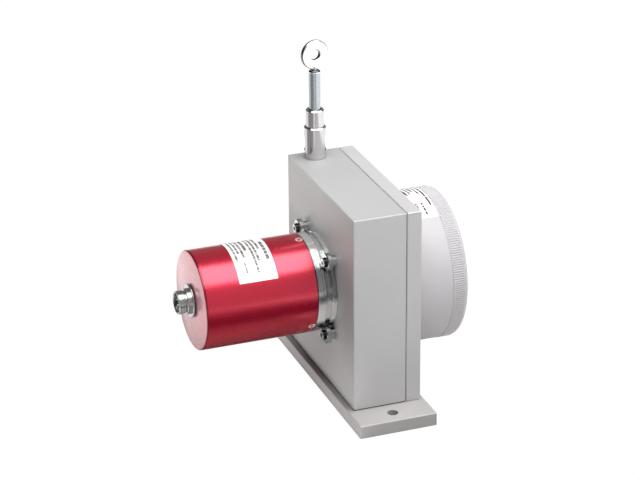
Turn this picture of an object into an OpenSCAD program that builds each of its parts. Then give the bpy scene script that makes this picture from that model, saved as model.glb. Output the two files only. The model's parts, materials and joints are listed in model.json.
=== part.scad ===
// Draw wire encoder. A spring-driven drum in an aluminium housing winds up a
// steel measuring wire, and a rotary encoder on the drum's shaft reads how far
// the wire is drawn out.
// Frame: origin at the middle of the base plate's underside, +Z up, X along
// the drum shaft with the encoder at -X, and the wire leaves upwards at +Y.
// Clock angles go round the shaft from +Z towards -Y. Millimetres.

/* [Wire] */
// Diameter of the measuring wire
wire_d = 1; // [0.6:0.1:1.4]
// Length of wire that can be drawn out
wire_range = 3000; // [1500:250:4000]
// Gap between neighbouring turns on the drum
turn_gap = 0.05; // [0.02:0.01:0.2]

/* [Drum] */
// Diameter at the centre of the wound wire
pitch_d = 89.5; // [84:0.5:110]
// Thickness of each drum flange
drum_flange_t = 2; // [1.5:0.1:3]
// Height of the drum flanges above the centre of the wire
drum_flange_h = 2.75; // [1.5:0.25:5]
// Drum width left free in front of the wound wire
front_margin = 5.65; // [5.4:0.05:8]
// Drum width left free behind the wound wire
rear_margin = 1.75; // [0.5:0.25:4]
// Thickness of the rim that carries the wire
rim_t = 6; // [4:0.5:10]
// Thickness of the drum's web
web_t = 6; // [4:0.5:8]
// Diameter of the drum's hub
hub_d = 28; // [24:1:34]
// Diameter of the drum shaft
drum_shaft_d = 12; // [11:0.5:14]
// Diameter of the shaft's stub that carries the spring arbor
arbor_stub_d = 10; // [7:0.5:11]

/* [Housing] */
// Gap between the drum flanges and the round cavity
cavity_gap = 1; // [0.5:0.1:2]
// Gap between the drum and the flat walls beside it
drum_gap = 0.9; // [0.5:0.1:1.5]
// Wall beside the cavity at its narrowest
side_wall = 5; // [4:0.5:12]
// Material under the cavity
floor_wall = 11.5; // [11:0.5:20]
// Material above the cavity
roof_wall = 9.5; // [8:0.5:16]
// Thickness of the wall that carries the encoder
front_wall = 6; // [6:0.5:10]
// Thickness of the gasket behind the housing
gasket_t = 0.4; // [0.2:0.1:1]
// Distance that the gasket stays back from the outer faces
gasket_inset = 0.5; // [0.2:0.1:1.5]
// Thickness of the rear plate
plate_t = 8.8; // [8:0.2:14]
// Bevel on the outer edges of the machined blocks
edge_bevel = 0.4; // [0.2:0.1:1]

/* [Base plate] */
// Thickness of the base plate
base_t = 8; // [7:0.5:14]
// Length of each foot beyond the housing
foot_l = 19; // [14:0.5:40]
// Step from the housing's front to the base plate's edge
front_lip = 3.5; // [0.5:0.5:15]
// Step from the rear plate to the base plate's edge
rear_lip = 2.5; // [0.5:0.5:15]
// Diameter of the mounting holes
foot_hole_d = 6.4; // [4.3:0.1:8.4]

/* [Spring cover] */
// Outer diameter of the spring cover
cover_d = 89.5; // [84:0.5:106]
// Depth of the spring cover
cover_depth = 33.5; // [30:0.5:50]
// Wall of the spring cover
cover_wall = 2.75; // [2:0.25:4]
// Thickness of the cover's end
cover_end_t = 2.5; // [2.2:0.1:4]
// Rounding of the cover's far edge
cover_edge_r = 2; // [1:0.2:3.2]
// Width of the ribbed band
rib_band = 7.4; // [4:0.2:14]
// Number of ribs round the band
rib_count = 204; // [72:12:216]
// Height of the ribs
rib_h = 0.35; // [0.2:0.05:0.6]
// Diameter of the pillars that hold the cover
pillar_d = 5; // [4.6:0.2:6]
// Width of the spring strip
strip_w = 20; // [10:1:22]
// Thickness of the spring strip
strip_t = 0.5; // [0.3:0.1:0.6]
// Turns of the spring that lie against the cassette
spring_turns = 10; // [6:1:12]

/* [Encoder] */
// Diameter of the encoder
encoder_d = 58; // [54:1:64]
// Length of the encoder's flange outside the housing
flange_l = 11.5; // [11:0.5:16]
// Length of the encoder's round casing
casing_l = 67; // [66:1:100]
// Wall of the casing
casing_wall = 2; // [1.6:0.2:2.6]
// Thickness of the casing's end
casing_end_t = 3; // [2:0.5:4]
// Diameter of the flange's centring spigot
pilot_d = 50; // [44:1:50]
// Height of the centring spigot
pilot_h = 3; // [2:0.5:3]
// Diameter of the encoder shaft
encoder_shaft_d = 6; // [5:0.5:6]
// Length of encoder shaft inside the drum shaft
shaft_reach = 13; // [12.6:0.2:15]
// Width of the clamp groove in the flange
groove_w = 3.4; // [3.2:0.1:4]
// Thickness of the flange ring between groove and housing
ring_t = 3; // [2:0.5:3.5]

/* [Servo clamps] */
// Number of clamps round the flange
clamp_count = 4; // [3:1:6]
// Clock angle of the first clamp
clamp_angle = -42; // [-45:1:45]
// Diameter of a clamp's head
clamp_d = 10.6; // [9:0.2:11]

/* [Connector] */
// Outer diameter of the connector's front sleeve
sleeve_d = 13.7; // [13.2:0.1:15]
// Length of the connector outside the casing
connector_l = 9.1; // [8.5:0.1:16]
// Bore of the connector's sleeve
socket_d = 11; // [10.5:0.1:11.4]
// Diameter of the connector's washer
washer_d = 20; // [17:0.5:24]
// Number of contact pins
pin_count = 8; // [5:1:8]

/* [Wire outlet] */
// Diameter of the lower outlet body
outlet_d = 13; // [12:0.5:16]
// Height of the lower outlet body
outlet_h = 19.5; // [17:0.5:30]
// Diameter of the outlet bush above it
bush_d = 10.8; // [9.6:0.2:11.4]
// Height of the outlet bush above the body
bush_h = 10.5; // [9:0.5:20]
// Diameter of the rod at the wire's end
rod_d = 6.8; // [5.6:0.2:7]
// Length of the rod that shows above the bush
rod_out = 24; // [20:1:60]
// Outer diameter of the eye
eye_d = 17.4; // [14:0.2:24]
// Diameter of the hole in the eye
eye_hole_d = 6.4; // [4:0.4:8]
// Thickness of the eye
eye_t = 2.6; // [2:0.2:4]
// Angle that the eye is turned to about the rod
eye_turn = 10; // [-90:5:90]

/* [Hidden] */
$fn = 72;

// Clearances
eps = 0.5;             // how far a cut runs past the face it opens
seat_fit = 0.02;       // radial, between parts that are fastened together
run_fit = 0.05;        // radial, between parts that turn or slide
free_gap = 0.3;        // between parts of different bodies that only pass

// Screw sizes, as [thread diameter, head diameter, head height]
m2 = [2, 3.4, 1.1];
m25 = [2.5, 4.5, 1.5];
m3 = [3, 5.5, 3];
m4 = [4, 7, 4];
m5 = [5, 8.5, 5];
head_room = 0.3;       // radial, round a sunk screw head

// Drum and cavity
pitch_r = pitch_d / 2;
turn_pitch = wire_d + turn_gap;
turns = ceil(wire_range / (PI * pitch_d)) + 1;
winding_w = turns * turn_pitch;
drum_w = 2 * drum_flange_t + front_margin + winding_w + rear_margin;
drum_r = pitch_r - wire_d / 2 - run_fit;
drum_flange_r = pitch_r + drum_flange_h;
cavity_r = drum_flange_r + cavity_gap;

// Housing
housing_w = 2 * (cavity_r + side_wall);
housing_h = floor_wall + 2 * cavity_r + roof_wall;
housing_t = front_wall + drum_w + 2 * drum_gap;
base_w = front_lip + housing_t + gasket_t + plate_t + rear_lip;
base_l = housing_w + 2 * foot_l;
axis_z = base_t + floor_wall + cavity_r;
top_z = base_t + housing_h;

// Stations along X
front_x = -base_w / 2 + front_lip;
drum_x = front_x + front_wall + drum_gap;
gasket_x = front_x + housing_t;
plate_x = gasket_x + gasket_t;
back_x = plate_x + plate_t;
cover_x = back_x + cover_depth;
casing_x = front_x - flange_l;
end_x = casing_x - casing_l;
wire_x = drum_x + drum_flange_t + front_margin - wire_d / 2 - run_fit;

// Drum bearings
drum_bearing_d = drum_shaft_d + 12;
drum_bearing_w = 6;
drum_ball_d = 3.4;
drum_balls = 9;
bearing_shoulder = 2;
boss_wall = 4;
front_bearing_x = front_x + pilot_h + bearing_shoulder;
boss_end_x = front_bearing_x + drum_bearing_w;
shoulder_d = drum_bearing_d - 6;
hub_x = boss_end_x + free_gap;
hub_end_x = plate_x - free_gap;
web_x = drum_x + drum_w / 2 - web_t / 2 + 0.9;

// Encoder bearings
encoder_bearing_d = encoder_shaft_d + 13;
encoder_bearing_w = 6;
encoder_ball_d = 3.6;
encoder_balls = 7;
bearing_boss_d = 30;
bearing_boss_l = 18.5;
near_bearing_x = front_x - 2;
far_bearing_x = casing_x - bearing_boss_l;

// Encoder insides
spigot_l = 6;
spigot_r = encoder_d / 2 - casing_wall - seat_fit;
spigot_wall = 3;
shaft_tip_x = front_x + pilot_h + shaft_reach + 1;
hub_l = 5;
disc_hub_d = 14;
disc_t = 1;
disc_x = far_bearing_x - 4;
shaft_end_x = disc_x - 3.5;
board_t = 1.6;
board_r = spigot_r - spigot_wall + 1;
board_x = shaft_end_x - 3;
board_pillar_d = 4;
board_pillar_r = spigot_r - spigot_wall - board_pillar_d / 2 - 0.5;
board_pillars_at = [60, 180, 300];
read_head_w = 10;
disc_d = 2 * (board_pillar_r - board_pillar_d / 2 - 1.5);
read_head_r = disc_d / 2 - 3.5;

// Clamps
clamp_r = encoder_d / 2 + 4;
clamp_foot_d = 7;
clamp_head_t = 3;
clamp_sink = 1.2;
groove_r = clamp_r - clamp_d / 2 - 1.2;
ring_r = encoder_d / 2 - 0.4;

// Casing screws
casing_screw_x = casing_x - 2.6;
casing_screws_at = [6, 126, 246];

// Connector
barrel_d = socket_d + 1.6;
seal_t = 0.8;
washer_t = 1;
collar_d = sleeve_d + 1.3;
collar_t = 2.3;
thread_relief = 0.5;
socket_depth = connector_l - 3.1;
insert_l = 7;
pin_d = 0.9;
pin_r = 4.1;
pin_out = 4.5;
pin_tail = 2.5;
nut_t = 3;
nut_af = 17;
tip_x = end_x - connector_l;
insert_x = tip_x + socket_depth;

// Labels
label_t = 0.15;
encoder_label_w = 23;
encoder_label_setback = 22.5;
encoder_label_x = casing_x - encoder_label_setback;
encoder_label_from = -25;
encoder_label_to = 55;
cover_label_w = cover_depth - cover_edge_r - rib_band - 1.7;
cover_label_x = back_x + 1.5;
cover_label_from = -34;
cover_label_to = 30;

// Spring cover and spring
cover_r = cover_d / 2;
cover_inner_r = cover_r - cover_wall;
pillar_r = cover_inner_r - pillar_d / 2 - 1.5;
cover_pillars_at = [30, 150, 270];
cassette_r = pillar_r - pillar_d / 2 - 0.5;
cassette_t = 0.8;
cassette_depth = strip_w + 2;
spring_r = cassette_r - cassette_t - 0.1;
arbor_r = arbor_stub_d / 2 + 2.5;
coil_pitch = strip_t + 0.4;
spring_steps = 24;
inner_turns = 1.5;
strip_x = back_x + cassette_t + 0.6;
stub_end_x = strip_x + strip_w + 2;

// Outlet, rod and eye, as heights above the housing's top
outlet_y = pitch_r;
outlet_thread_d = 8;
outlet_thread_l = 10;
guide_d = 5;
guide_top = 6;
wire_hole_r = wire_d / 2 + free_gap;
wiper_t = 3;
bush_tail = 7.5;
rod_sink = 4;
buffer_t = 2;
waist_flat = outlet_d - 1.3;
waist_h = 8.6;
waist_z = 4.8;
waist_turn = -20;
guide_screw_z = 2.8;
bush_top = outlet_h + bush_h;
buffer_z = bush_top - rod_sink - buffer_t;
rod_z = bush_top - rod_sink + free_gap;
rod_top = bush_top + rod_out;
shank_d = 3.4;
shank_l = 11;
ferrule_d = 3;
ferrule_l = 8;
eye_gap = 0.8;
eye_z = rod_top + eye_gap + eye_d / 2;

// Fastener places
plate_screw_inset = 7.5;
plate_screw_l = 12;
base_screw_inset = 15.5;
base_screw_l = 13;
cover_screw_l = 9;
shaft_grub_l = 8;
drum_grub_l = 6;

// A child that points along +X, with its zero at station x on the drum axis
module on_axis(x) { translate([x, 0, axis_z]) rotate([0, 90, 0]) children(); }

// A child on the drum axis, turned to a clock angle; its own +X points outwards
module at_clock(x, angle) { on_axis(x) rotate([0, 0, 180 + angle]) children(); }

// A child at the wire outlet, h above the housing's top
module at_outlet(h) { translate([wire_x, outlet_y, top_z + h]) children(); }

// A turned solid from [radius, height] points
module turned(points) { rotate_extrude() polygon(points); }

// A straight tube
module tube(outer_r, inner_r, length) {
    difference() {
        cylinder(r = outer_r, h = length);
        translate([0, 0, -eps]) cylinder(r = inner_r, h = length + 2 * eps);
    }
}

// An outline of w by h from the origin with its corners cut off by c
function bevelled(w, h, c) = [
    [c, 0], [w - c, 0], [w, c], [w, h - c], [w - c, h], [c, h], [0, h - c], [0, c]];

// A block from the origin with every edge bevelled
module bevelled_block(w, l, h, c) {
    intersection() {
        linear_extrude(h) polygon(bevelled(w, l, c));
        translate([0, l, 0]) rotate([90, 0, 0]) linear_extrude(l) polygon(bevelled(w, h, c));
        rotate([90, 0, 90]) linear_extrude(w) polygon(bevelled(l, h, c));
    }
}

// A socket-head screw that points down, with its head's underside at zero
module cap_screw(size, length) {
    socket_r = size[0] * 0.47;
    translate([0, 0, -length]) cylinder(d = size[0] - 2 * seat_fit, h = length);
    difference() {
        cylinder(d = size[1], h = size[2]);
        translate([0, 0, size[2] * 0.45]) cylinder(r = socket_r, h = size[2], $fn = 6);
    }
}

// The hole for such a screw: thread below zero, and a sunk head above it
module cap_screw_hole(size, length, sink) {
    translate([0, 0, -length]) cylinder(d = size[0], h = length + eps);
    cylinder(r = size[1] / 2 + head_room, h = sink);
}

// A headless screw from zero up, with a socket in its top
module grub_screw(d, length) {
    difference() {
        cylinder(d = d - 2 * seat_fit, h = length);
        translate([0, 0, length * 0.55]) cylinder(r = d * 0.29, h = length, $fn = 6);
    }
}

// Parts of a ball bearing that lies from zero to w
module outer_ring(bore, outer, w, ball) {
    middle_r = (bore + outer) / 4;
    difference() {
        tube(outer / 2 - seat_fit, middle_r + ball * 0.32, w);
        translate([0, 0, w / 2]) rotate_extrude() translate([middle_r, 0]) circle(d = ball + 2 * run_fit);
    }
}
module inner_ring(bore, outer, w, ball) {
    middle_r = (bore + outer) / 4;
    difference() {
        tube(middle_r - ball * 0.32, bore / 2 + seat_fit, w);
        translate([0, 0, w / 2]) rotate_extrude() translate([middle_r, 0]) circle(d = ball + 2 * run_fit);
    }
}
module ball_ring(bore, outer, w, ball, count) {
    for (i = [0:count - 1])
        rotate([0, 0, i * 360 / count]) translate([(bore + outer) / 4, 0, w / 2]) sphere(d = ball, $fn = 24);
}

// A curved sheet on a drum of radius r, from one clock angle to another
module wrapped_sheet(x, r, w, from_angle, to_angle) {
    at_clock(x, from_angle) rotate_extrude(angle = to_angle - from_angle)
        translate([r + seat_fit, 0]) square([label_t, w]);
}

// Places of repeated fasteners
module at_base_screws() {
    for (side = [-1, 1])
        translate([front_x + housing_t / 2, side * (housing_w / 2 - base_screw_inset), m5[2] + head_room])
            rotate([180, 0, 0]) children();
}
module at_plate_screws() {
    for (side = [-1, 1], z = [plate_screw_inset, housing_h - plate_screw_inset])
        translate([back_x - m4[2] - head_room, side * (housing_w / 2 - plate_screw_inset), base_t + z])
            rotate([0, 90, 0]) children();
}
module at_clamps(x) {
    for (i = [0:clamp_count - 1])
        at_clock(x, clamp_angle + i * 360 / clamp_count) translate([clamp_r, 0, 0]) children();
}
module at_casing_screws(r) {
    for (angle = casing_screws_at) at_clock(casing_screw_x, angle) translate([r, 0, 0]) rotate([0, 90, 0]) children();
}
module at_cover_pillars(x) {
    for (angle = cover_pillars_at) at_clock(x, angle) translate([pillar_r, 0, 0]) children();
}
module at_board_pillars(x) {
    for (angle = board_pillars_at) at_clock(x, angle) translate([board_pillar_r, 0, 0]) children();
}

// ---- Base and housing ----

module base_plate() {
    color("#b4b2b3") difference() {
        translate([-base_w / 2, -base_l / 2, 0]) bevelled_block(base_w, base_l, base_t, edge_bevel);
        for (side = [-1, 1]) translate([0, side * (housing_w + foot_l) / 2, -eps])
            cylinder(d = foot_hole_d, h = base_t + 2 * eps);
        at_base_screws() {
            cap_screw_hole(m5, base_t, m5[2] + head_room + eps);
            translate([0, 0, -base_t]) cylinder(r = m5[0] / 2 + head_room, h = base_t);
        }
    }
}

module base_screws() { color("#3a3a3c") at_base_screws() cap_screw(m5, base_screw_l); }

module drum_housing() {
    color("#b0aeae") difference() {
        translate([front_x, -housing_w / 2, base_t])
            bevelled_block(housing_t, housing_w, housing_h, edge_bevel);
        // the drum's cavity, around the bearing boss
        on_axis(front_x + front_wall) difference() {
            cylinder(r = cavity_r, h = housing_t);
            translate([0, 0, -eps])
                cylinder(r = drum_bearing_d / 2 + boss_wall, h = boss_end_x - front_x - front_wall + eps);
        }
        // centring recess, shaft passage and bearing seat
        on_axis(front_x - eps) cylinder(d = pilot_d, h = pilot_h + eps);
        on_axis(front_x) cylinder(d = shoulder_d, h = front_wall);
        on_axis(front_bearing_x) cylinder(d = drum_bearing_d, h = housing_t);
        at_clamps(front_x) translate([0, 0, -eps]) cylinder(d = m3[0], h = front_wall - 1 + eps);
        at_base_screws() translate([0, 0, -base_screw_l - 1]) cylinder(d = m5[0], h = base_screw_l);
        at_plate_screws() translate([0, 0, -plate_screw_l - 1]) cylinder(d = m4[0], h = plate_screw_l);
        // thread for the outlet and the wire's passage
        at_outlet(-outlet_thread_l - free_gap)
            cylinder(d = outlet_thread_d, h = outlet_thread_l + free_gap + eps);
        translate([wire_x, outlet_y, axis_z]) cylinder(r = wire_d / 2 + 1, h = top_z - axis_z);
    }
}

module plate_gasket() {
    color("#202022") difference() {
        translate([gasket_x, gasket_inset - housing_w / 2, base_t + gasket_inset])
            cube([gasket_t, housing_w - 2 * gasket_inset, housing_h - 2 * gasket_inset]);
        on_axis(gasket_x - eps) cylinder(r = cavity_r, h = gasket_t + 2 * eps);
        at_plate_screws() translate([0, 0, -plate_t]) cylinder(r = m4[0] / 2 + head_room, h = plate_t);
    }
}

module rear_plate() {
    color("#b0aeae") difference() {
        translate([plate_x, -housing_w / 2, base_t]) bevelled_block(plate_t, housing_w, housing_h, edge_bevel);
        on_axis(plate_x - eps) cylinder(d = drum_bearing_d, h = drum_bearing_w + eps);
        on_axis(plate_x) cylinder(d = shoulder_d, h = plate_t + eps);
        at_plate_screws() {
            cap_screw_hole(m4, plate_t, m4[2] + head_room + eps);
            translate([0, 0, -plate_t]) cylinder(r = m4[0] / 2 + head_room, h = plate_t);
        }
        at_cover_pillars(back_x - 5) cylinder(d = m3[0], h = 5 + eps);
    }
}

module plate_screws() { color("#3a3a3c") at_plate_screws() cap_screw(m4, plate_screw_l); }

// ---- Spring side ----

// Ribbed outline: a circle of radius r with a shallow V between its ribs
function ribbed(r, count, h) = [
    for (i = [0:count - 1], k = [0:3])
        let (a = (i + [0, 0.3, 0.5, 0.8][k]) * 360 / count, q = k < 2 ? r : r - h)
            [q * cos(a), q * sin(a)]];

module spring_cover() {
    band_from = cover_depth - cover_edge_r - rib_band;
    sunk_r = m3[0] / 2 + head_room / 2;
    sunk_depth = m3[0] / 2 + 0.1;
    color("#d2d1d3") difference() {
        on_axis(back_x) union() {
            cylinder(r = cover_r - 0.25, h = band_from, $fn = 120);
            translate([0, 0, band_from]) linear_extrude(rib_band) polygon(ribbed(cover_r, rib_count, rib_h));
            translate([0, 0, band_from + rib_band]) rotate_extrude($fn = 120) {
                square([cover_r - rib_h - cover_edge_r, cover_edge_r]);
                translate([cover_r - rib_h - cover_edge_r, 0]) intersection() {
                    circle(r = cover_edge_r);
                    square(cover_edge_r);
                }
            }
        }
        on_axis(back_x - eps) cylinder(r = cover_inner_r, h = cover_depth - cover_end_t + eps);
        at_cover_pillars(cover_x - cover_end_t - eps) cylinder(r = sunk_r, h = cover_end_t);
        at_cover_pillars(cover_x - sunk_depth)
            cylinder(r1 = sunk_r, r2 = sunk_r + sunk_depth + eps, h = sunk_depth + eps);
    }
}

// Threaded stud into the rear plate, pillar, and a thread for the cover screw
module cover_pillars() {
    length = cover_depth - cover_end_t;
    color("#c8b070") at_cover_pillars(back_x) {
        difference() {
            cylinder(d = pillar_d, h = length);
            translate([0, 0, length - cover_screw_l]) cylinder(d = m3[0], h = cover_screw_l + eps);
        }
        translate([0, 0, -4.5]) cylinder(d = m3[0] - 2 * seat_fit, h = 4.5);
    }
}

module cover_screws() {
    color("#c8c8ca") at_cover_pillars(cover_x - 0.05) difference() {
        union() {
            translate([0, 0, -cover_screw_l]) cylinder(d = m3[0] - 2 * seat_fit, h = cover_screw_l);
            translate([0, 0, -m3[0] / 2]) cylinder(r1 = m3[0] / 2, r2 = m3[0], h = m3[0] / 2);
        }
        translate([0, 0, -1]) cylinder(r = 1.05, h = 1 + eps, $fn = 6);
    }
}

module cover_label() {
    color("white") wrapped_sheet(cover_label_x, cover_r - 0.25, cover_label_w, cover_label_from, cover_label_to);
}

module spring_cassette() {
    color("#8f9296") on_axis(back_x) {
        tube(cassette_r, shoulder_d / 2, cassette_t);
        tube(cassette_r, cassette_r - cassette_t, cassette_depth);
    }
}

// Radius of the spring's strip t turns in from the cassette's wall
function spring_radius(t) = let (inner = arbor_r + free_gap, packed = spring_r - strip_t - spring_turns * coil_pitch)
    t < spring_turns ? spring_r - strip_t - t * coil_pitch
                     : packed + (inner - packed) * (t - spring_turns) / inner_turns;

module power_spring() {
    steps = round((spring_turns + inner_turns) * spring_steps);
    inside = [for (i = [0:steps]) let (t = i / spring_steps, r = spring_radius(t)) [r * cos(360 * t), r * sin(360 * t)]];
    outside = [for (i = [steps:-1:0]) let (t = i / spring_steps, r = spring_radius(t) + strip_t)
        [r * cos(360 * t), r * sin(360 * t)]];
    color("#6d7278") on_axis(strip_x) linear_extrude(strip_w) polygon(concat(inside, outside));
}

module spring_arbor() {
    color("#c2a15a") on_axis(strip_x - 0.3) tube(arbor_r, arbor_stub_d / 2 + seat_fit, strip_w + 0.6);
}

// ---- Drum ----

module drum() {
    color("#c9cacc") difference() {
        on_axis(drum_x) {
            cylinder(r = drum_r, h = drum_w);
            cylinder(r = drum_flange_r, h = drum_flange_t);
            translate([0, 0, drum_w - drum_flange_t]) cylinder(r = drum_flange_r, h = drum_flange_t);
            translate([0, 0, hub_x - drum_x]) cylinder(d = hub_d, h = hub_end_x - hub_x);
        }
        // hollows on both sides of the web, round the hub
        on_axis(drum_x - eps) tube(drum_r - rim_t, hub_d / 2, web_x - drum_x + eps);
        on_axis(web_x + web_t) tube(drum_r - rim_t, hub_d / 2, drum_w);
        on_axis(drum_x - eps) cylinder(r = hub_d, h = hub_x - drum_x + eps);
        on_axis(drum_x) cylinder(r = drum_shaft_d / 2 + seat_fit, h = 2 * drum_w);
        at_shaft_grubs() cylinder(d = m3[0], h = hub_d / 2 + eps);
        at_drum_grubs() cylinder(d = m4[0], h = hub_d / 2 + eps);
    }
}

// Radial screws through the hub: in front onto the encoder shaft, behind onto the drum shaft
module at_shaft_grubs() {
    for (angle = [0, 90]) at_clock((hub_x + web_x) / 2, angle) rotate([0, 90, 0]) children();
}
module at_drum_grubs() {
    for (angle = [0, 90]) at_clock((web_x + web_t + hub_end_x) / 2, angle) rotate([0, 90, 0]) children();
}

module drum_shaft() {
    start_x = front_x + pilot_h + 0.7;
    journal_end_x = plate_x + drum_bearing_w;
    color("#9a9ca0") difference() {
        union() {
            on_axis(start_x) cylinder(d = drum_shaft_d, h = journal_end_x - start_x);
            on_axis(journal_end_x) cylinder(d = arbor_stub_d, h = stub_end_x - journal_end_x);
        }
        on_axis(start_x - eps) cylinder(r = encoder_shaft_d / 2 + seat_fit, h = shaft_tip_x - start_x + 1);
        at_shaft_grubs() cylinder(d = m3[0], h = drum_shaft_d);
    }
}

module drum_set_screws() {
    color("#3a3a3c") at_drum_grubs() translate([0, 0, drum_shaft_d / 2]) grub_screw(m4[0], drum_grub_l);
}

module wire_winding() {
    color("#8c9196") on_axis(wire_x + wire_d / 2 + run_fit) difference() {
        rotate_extrude() for (i = [0:turns - 1]) {
            translate([pitch_r, (i + 0.5) * turn_pitch]) circle(d = wire_d, $fn = 24);
            translate([drum_r + seat_fit, i * turn_pitch]) square([wire_d / 2, turn_pitch]);
        }
        translate([0, 0, -eps]) cylinder(r = drum_r + seat_fit, h = winding_w + 2 * eps);
    }
}

module drum_bearing_outer_rings() {
    color("#a9adb2") for (x = [front_bearing_x, plate_x])
        on_axis(x) outer_ring(drum_shaft_d, drum_bearing_d, drum_bearing_w, drum_ball_d);
}
module drum_bearing_inner_rings() {
    color("#a9adb2") for (x = [front_bearing_x, plate_x])
        on_axis(x) inner_ring(drum_shaft_d, drum_bearing_d, drum_bearing_w, drum_ball_d);
}
module drum_bearing_balls() {
    color("#c9cdd2") for (x = [front_bearing_x, plate_x])
        on_axis(x) ball_ring(drum_shaft_d, drum_bearing_d, drum_bearing_w, drum_ball_d, drum_balls);
}

// ---- Encoder ----

module encoder_flange() {
    neck_r = groove_r;
    color("#c4c6c8") difference() {
        on_axis(casing_x) union() {
            // band next to the casing, groove, ring on the housing, centring spigot
            cylinder(d = encoder_d, h = flange_l - ring_t - groove_w);
            cylinder(r = neck_r, h = flange_l);
            translate([0, 0, flange_l - ring_t]) cylinder(r = ring_r, h = ring_t);
            cylinder(r = pilot_d / 2 - seat_fit, h = flange_l + pilot_h);
            // spigot for the casing, and the bearing boss
            translate([0, 0, -spigot_l]) tube(spigot_r, spigot_r - spigot_wall, spigot_l + 1);
            translate([0, 0, -bearing_boss_l]) cylinder(d = bearing_boss_d, h = bearing_boss_l + 1);
        }
        on_axis(far_bearing_x - eps) cylinder(d = encoder_bearing_d, h = near_bearing_x - far_bearing_x + eps);
        on_axis(near_bearing_x - eps) cylinder(d = drum_shaft_d, h = pilot_h + 5);
        at_casing_screws(0) cylinder(d = m2[0], h = encoder_d);
    }
}

module encoder_casing() {
    edge = 0.6;
    r = encoder_d / 2;
    color("#b5122e") difference() {
        on_axis(end_x) turned([
            [0, 0], [r - edge, 0], [r, edge], [r, casing_l - edge / 2], [r - edge / 2, casing_l], [0, casing_l]]);
        on_axis(end_x + casing_end_t) cylinder(r = r - casing_wall, h = casing_l);
        on_axis(end_x - eps) cylinder(r = barrel_d / 2 + seat_fit, h = casing_end_t + 2 * eps);
        at_casing_screws(0) cylinder(r = m2[1] / 2 + 0.1, h = encoder_d);
    }
}

// Small flat-head screws; the head lies flush in the casing's wall
module casing_screws() {
    head_r = encoder_d / 2 - m2[2] - 0.15;
    color("#8a8c90") at_casing_screws(spigot_r - spigot_wall) difference() {
        union() {
            cylinder(d = m2[0] - 2 * seat_fit, h = head_r - spigot_r + spigot_wall);
            translate([0, 0, head_r - spigot_r + spigot_wall]) cylinder(d = m2[1], h = m2[2]);
        }
        translate([0, 0, head_r - spigot_r + spigot_wall + 0.4]) cylinder(r = 0.75, h = m2[2], $fn = 6);
    }
}

// A foot on the housing and a wider head that reaches into the flange's groove
module servo_clamps() {
    foot_h = ring_t + run_fit;
    color("#b9bcbf") at_clamps(front_x) rotate([180, 0, 0]) difference() {
        union() {
            cylinder(d = clamp_foot_d, h = foot_h + 0.5);
            translate([0, 0, foot_h]) cylinder(d = clamp_d, h = clamp_head_t);
        }
        translate([0, 0, -eps]) cylinder(r = m3[0] / 2 + 0.1, h = foot_h + clamp_head_t + 2 * eps);
        translate([0, 0, foot_h + clamp_head_t - clamp_sink]) cylinder(r = m3[1] / 2 + 0.2, h = clamp_sink + eps);
    }
}

module clamp_screws() {
    seat = ring_t + run_fit + clamp_head_t - clamp_sink;
    color("#c2c5c8") at_clamps(front_x - seat) rotate([180, 0, 0]) cap_screw(m3, seat + front_wall - 2);
}

module encoder_shaft() {
    color("#a4a7ab") on_axis(shaft_end_x) cylinder(d = encoder_shaft_d, h = shaft_tip_x - shaft_end_x);
}

module shaft_set_screws() {
    color("#3a3a3c") at_shaft_grubs() translate([0, 0, encoder_shaft_d / 2]) grub_screw(m3[0], shaft_grub_l);
}

module bearing_spacer() {
    start_x = far_bearing_x + encoder_bearing_w;
    length = near_bearing_x - encoder_bearing_w - start_x;
    color("#8d9094") on_axis(start_x) tube(encoder_bearing_d / 2 - seat_fit, encoder_bearing_d / 2 - 2, length);
}

module encoder_bearing_outer_rings() {
    color("#a9adb2") for (x = [far_bearing_x, near_bearing_x - encoder_bearing_w])
        on_axis(x) outer_ring(encoder_shaft_d, encoder_bearing_d, encoder_bearing_w, encoder_ball_d);
}
module encoder_bearing_inner_rings() {
    color("#a9adb2") for (x = [far_bearing_x, near_bearing_x - encoder_bearing_w])
        on_axis(x) inner_ring(encoder_shaft_d, encoder_bearing_d, encoder_bearing_w, encoder_ball_d);
}
module encoder_bearing_balls() {
    color("#c9cdd2") for (x = [far_bearing_x, near_bearing_x - encoder_bearing_w])
        on_axis(x) ball_ring(encoder_shaft_d, encoder_bearing_d, encoder_bearing_w, encoder_ball_d, encoder_balls);
}

module disc_hub() {
    color("#c2a15a") on_axis(disc_x - disc_t - 1) difference() {
        union() {
            cylinder(d = disc_hub_d, h = 1);
            cylinder(d = disc_hub_d - 5, h = hub_l);
        }
        translate([0, 0, -eps]) cylinder(r = encoder_shaft_d / 2 + seat_fit, h = hub_l + 2 * eps);
    }
}

module code_disc() {
    color("#9fb0b8") on_axis(disc_x - disc_t) tube(disc_d / 2, (disc_hub_d - 5) / 2 + seat_fit, disc_t);
}

// Light source and sensor on either side of the disc's edge
module read_head() {
    reach = disc_x + 2.6;
    color("#26272b") at_clock(board_x, 0) difference() {
        translate([read_head_r, -read_head_w / 2, 0]) cube([6, read_head_w, reach - board_x]);
        translate([0, -read_head_w, disc_x - disc_t - 0.4 - board_x])
            cube([disc_d / 2 + 0.5, 2 * read_head_w, disc_t + 0.8]);
    }
}

module circuit_board() {
    color("#1f6b3a") difference() {
        on_axis(board_x - board_t) cylinder(r = board_r, h = board_t);
        at_board_pillars(board_x - board_t - eps) cylinder(r = m25[0] / 2 + 0.1, h = board_t + 2 * eps);
    }
}

module board_pillars() {
    length = casing_x - board_x;
    color("#c8b070") at_board_pillars(board_x) difference() {
        cylinder(d = board_pillar_d, h = length);
        translate([0, 0, -eps]) cylinder(d = m25[0], h = 7 + eps);
    }
}

module board_screws() {
    color("#c8c8ca") at_board_pillars(board_x - board_t) rotate([180, 0, 0]) cap_screw(m25, board_t + 6);
}

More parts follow.
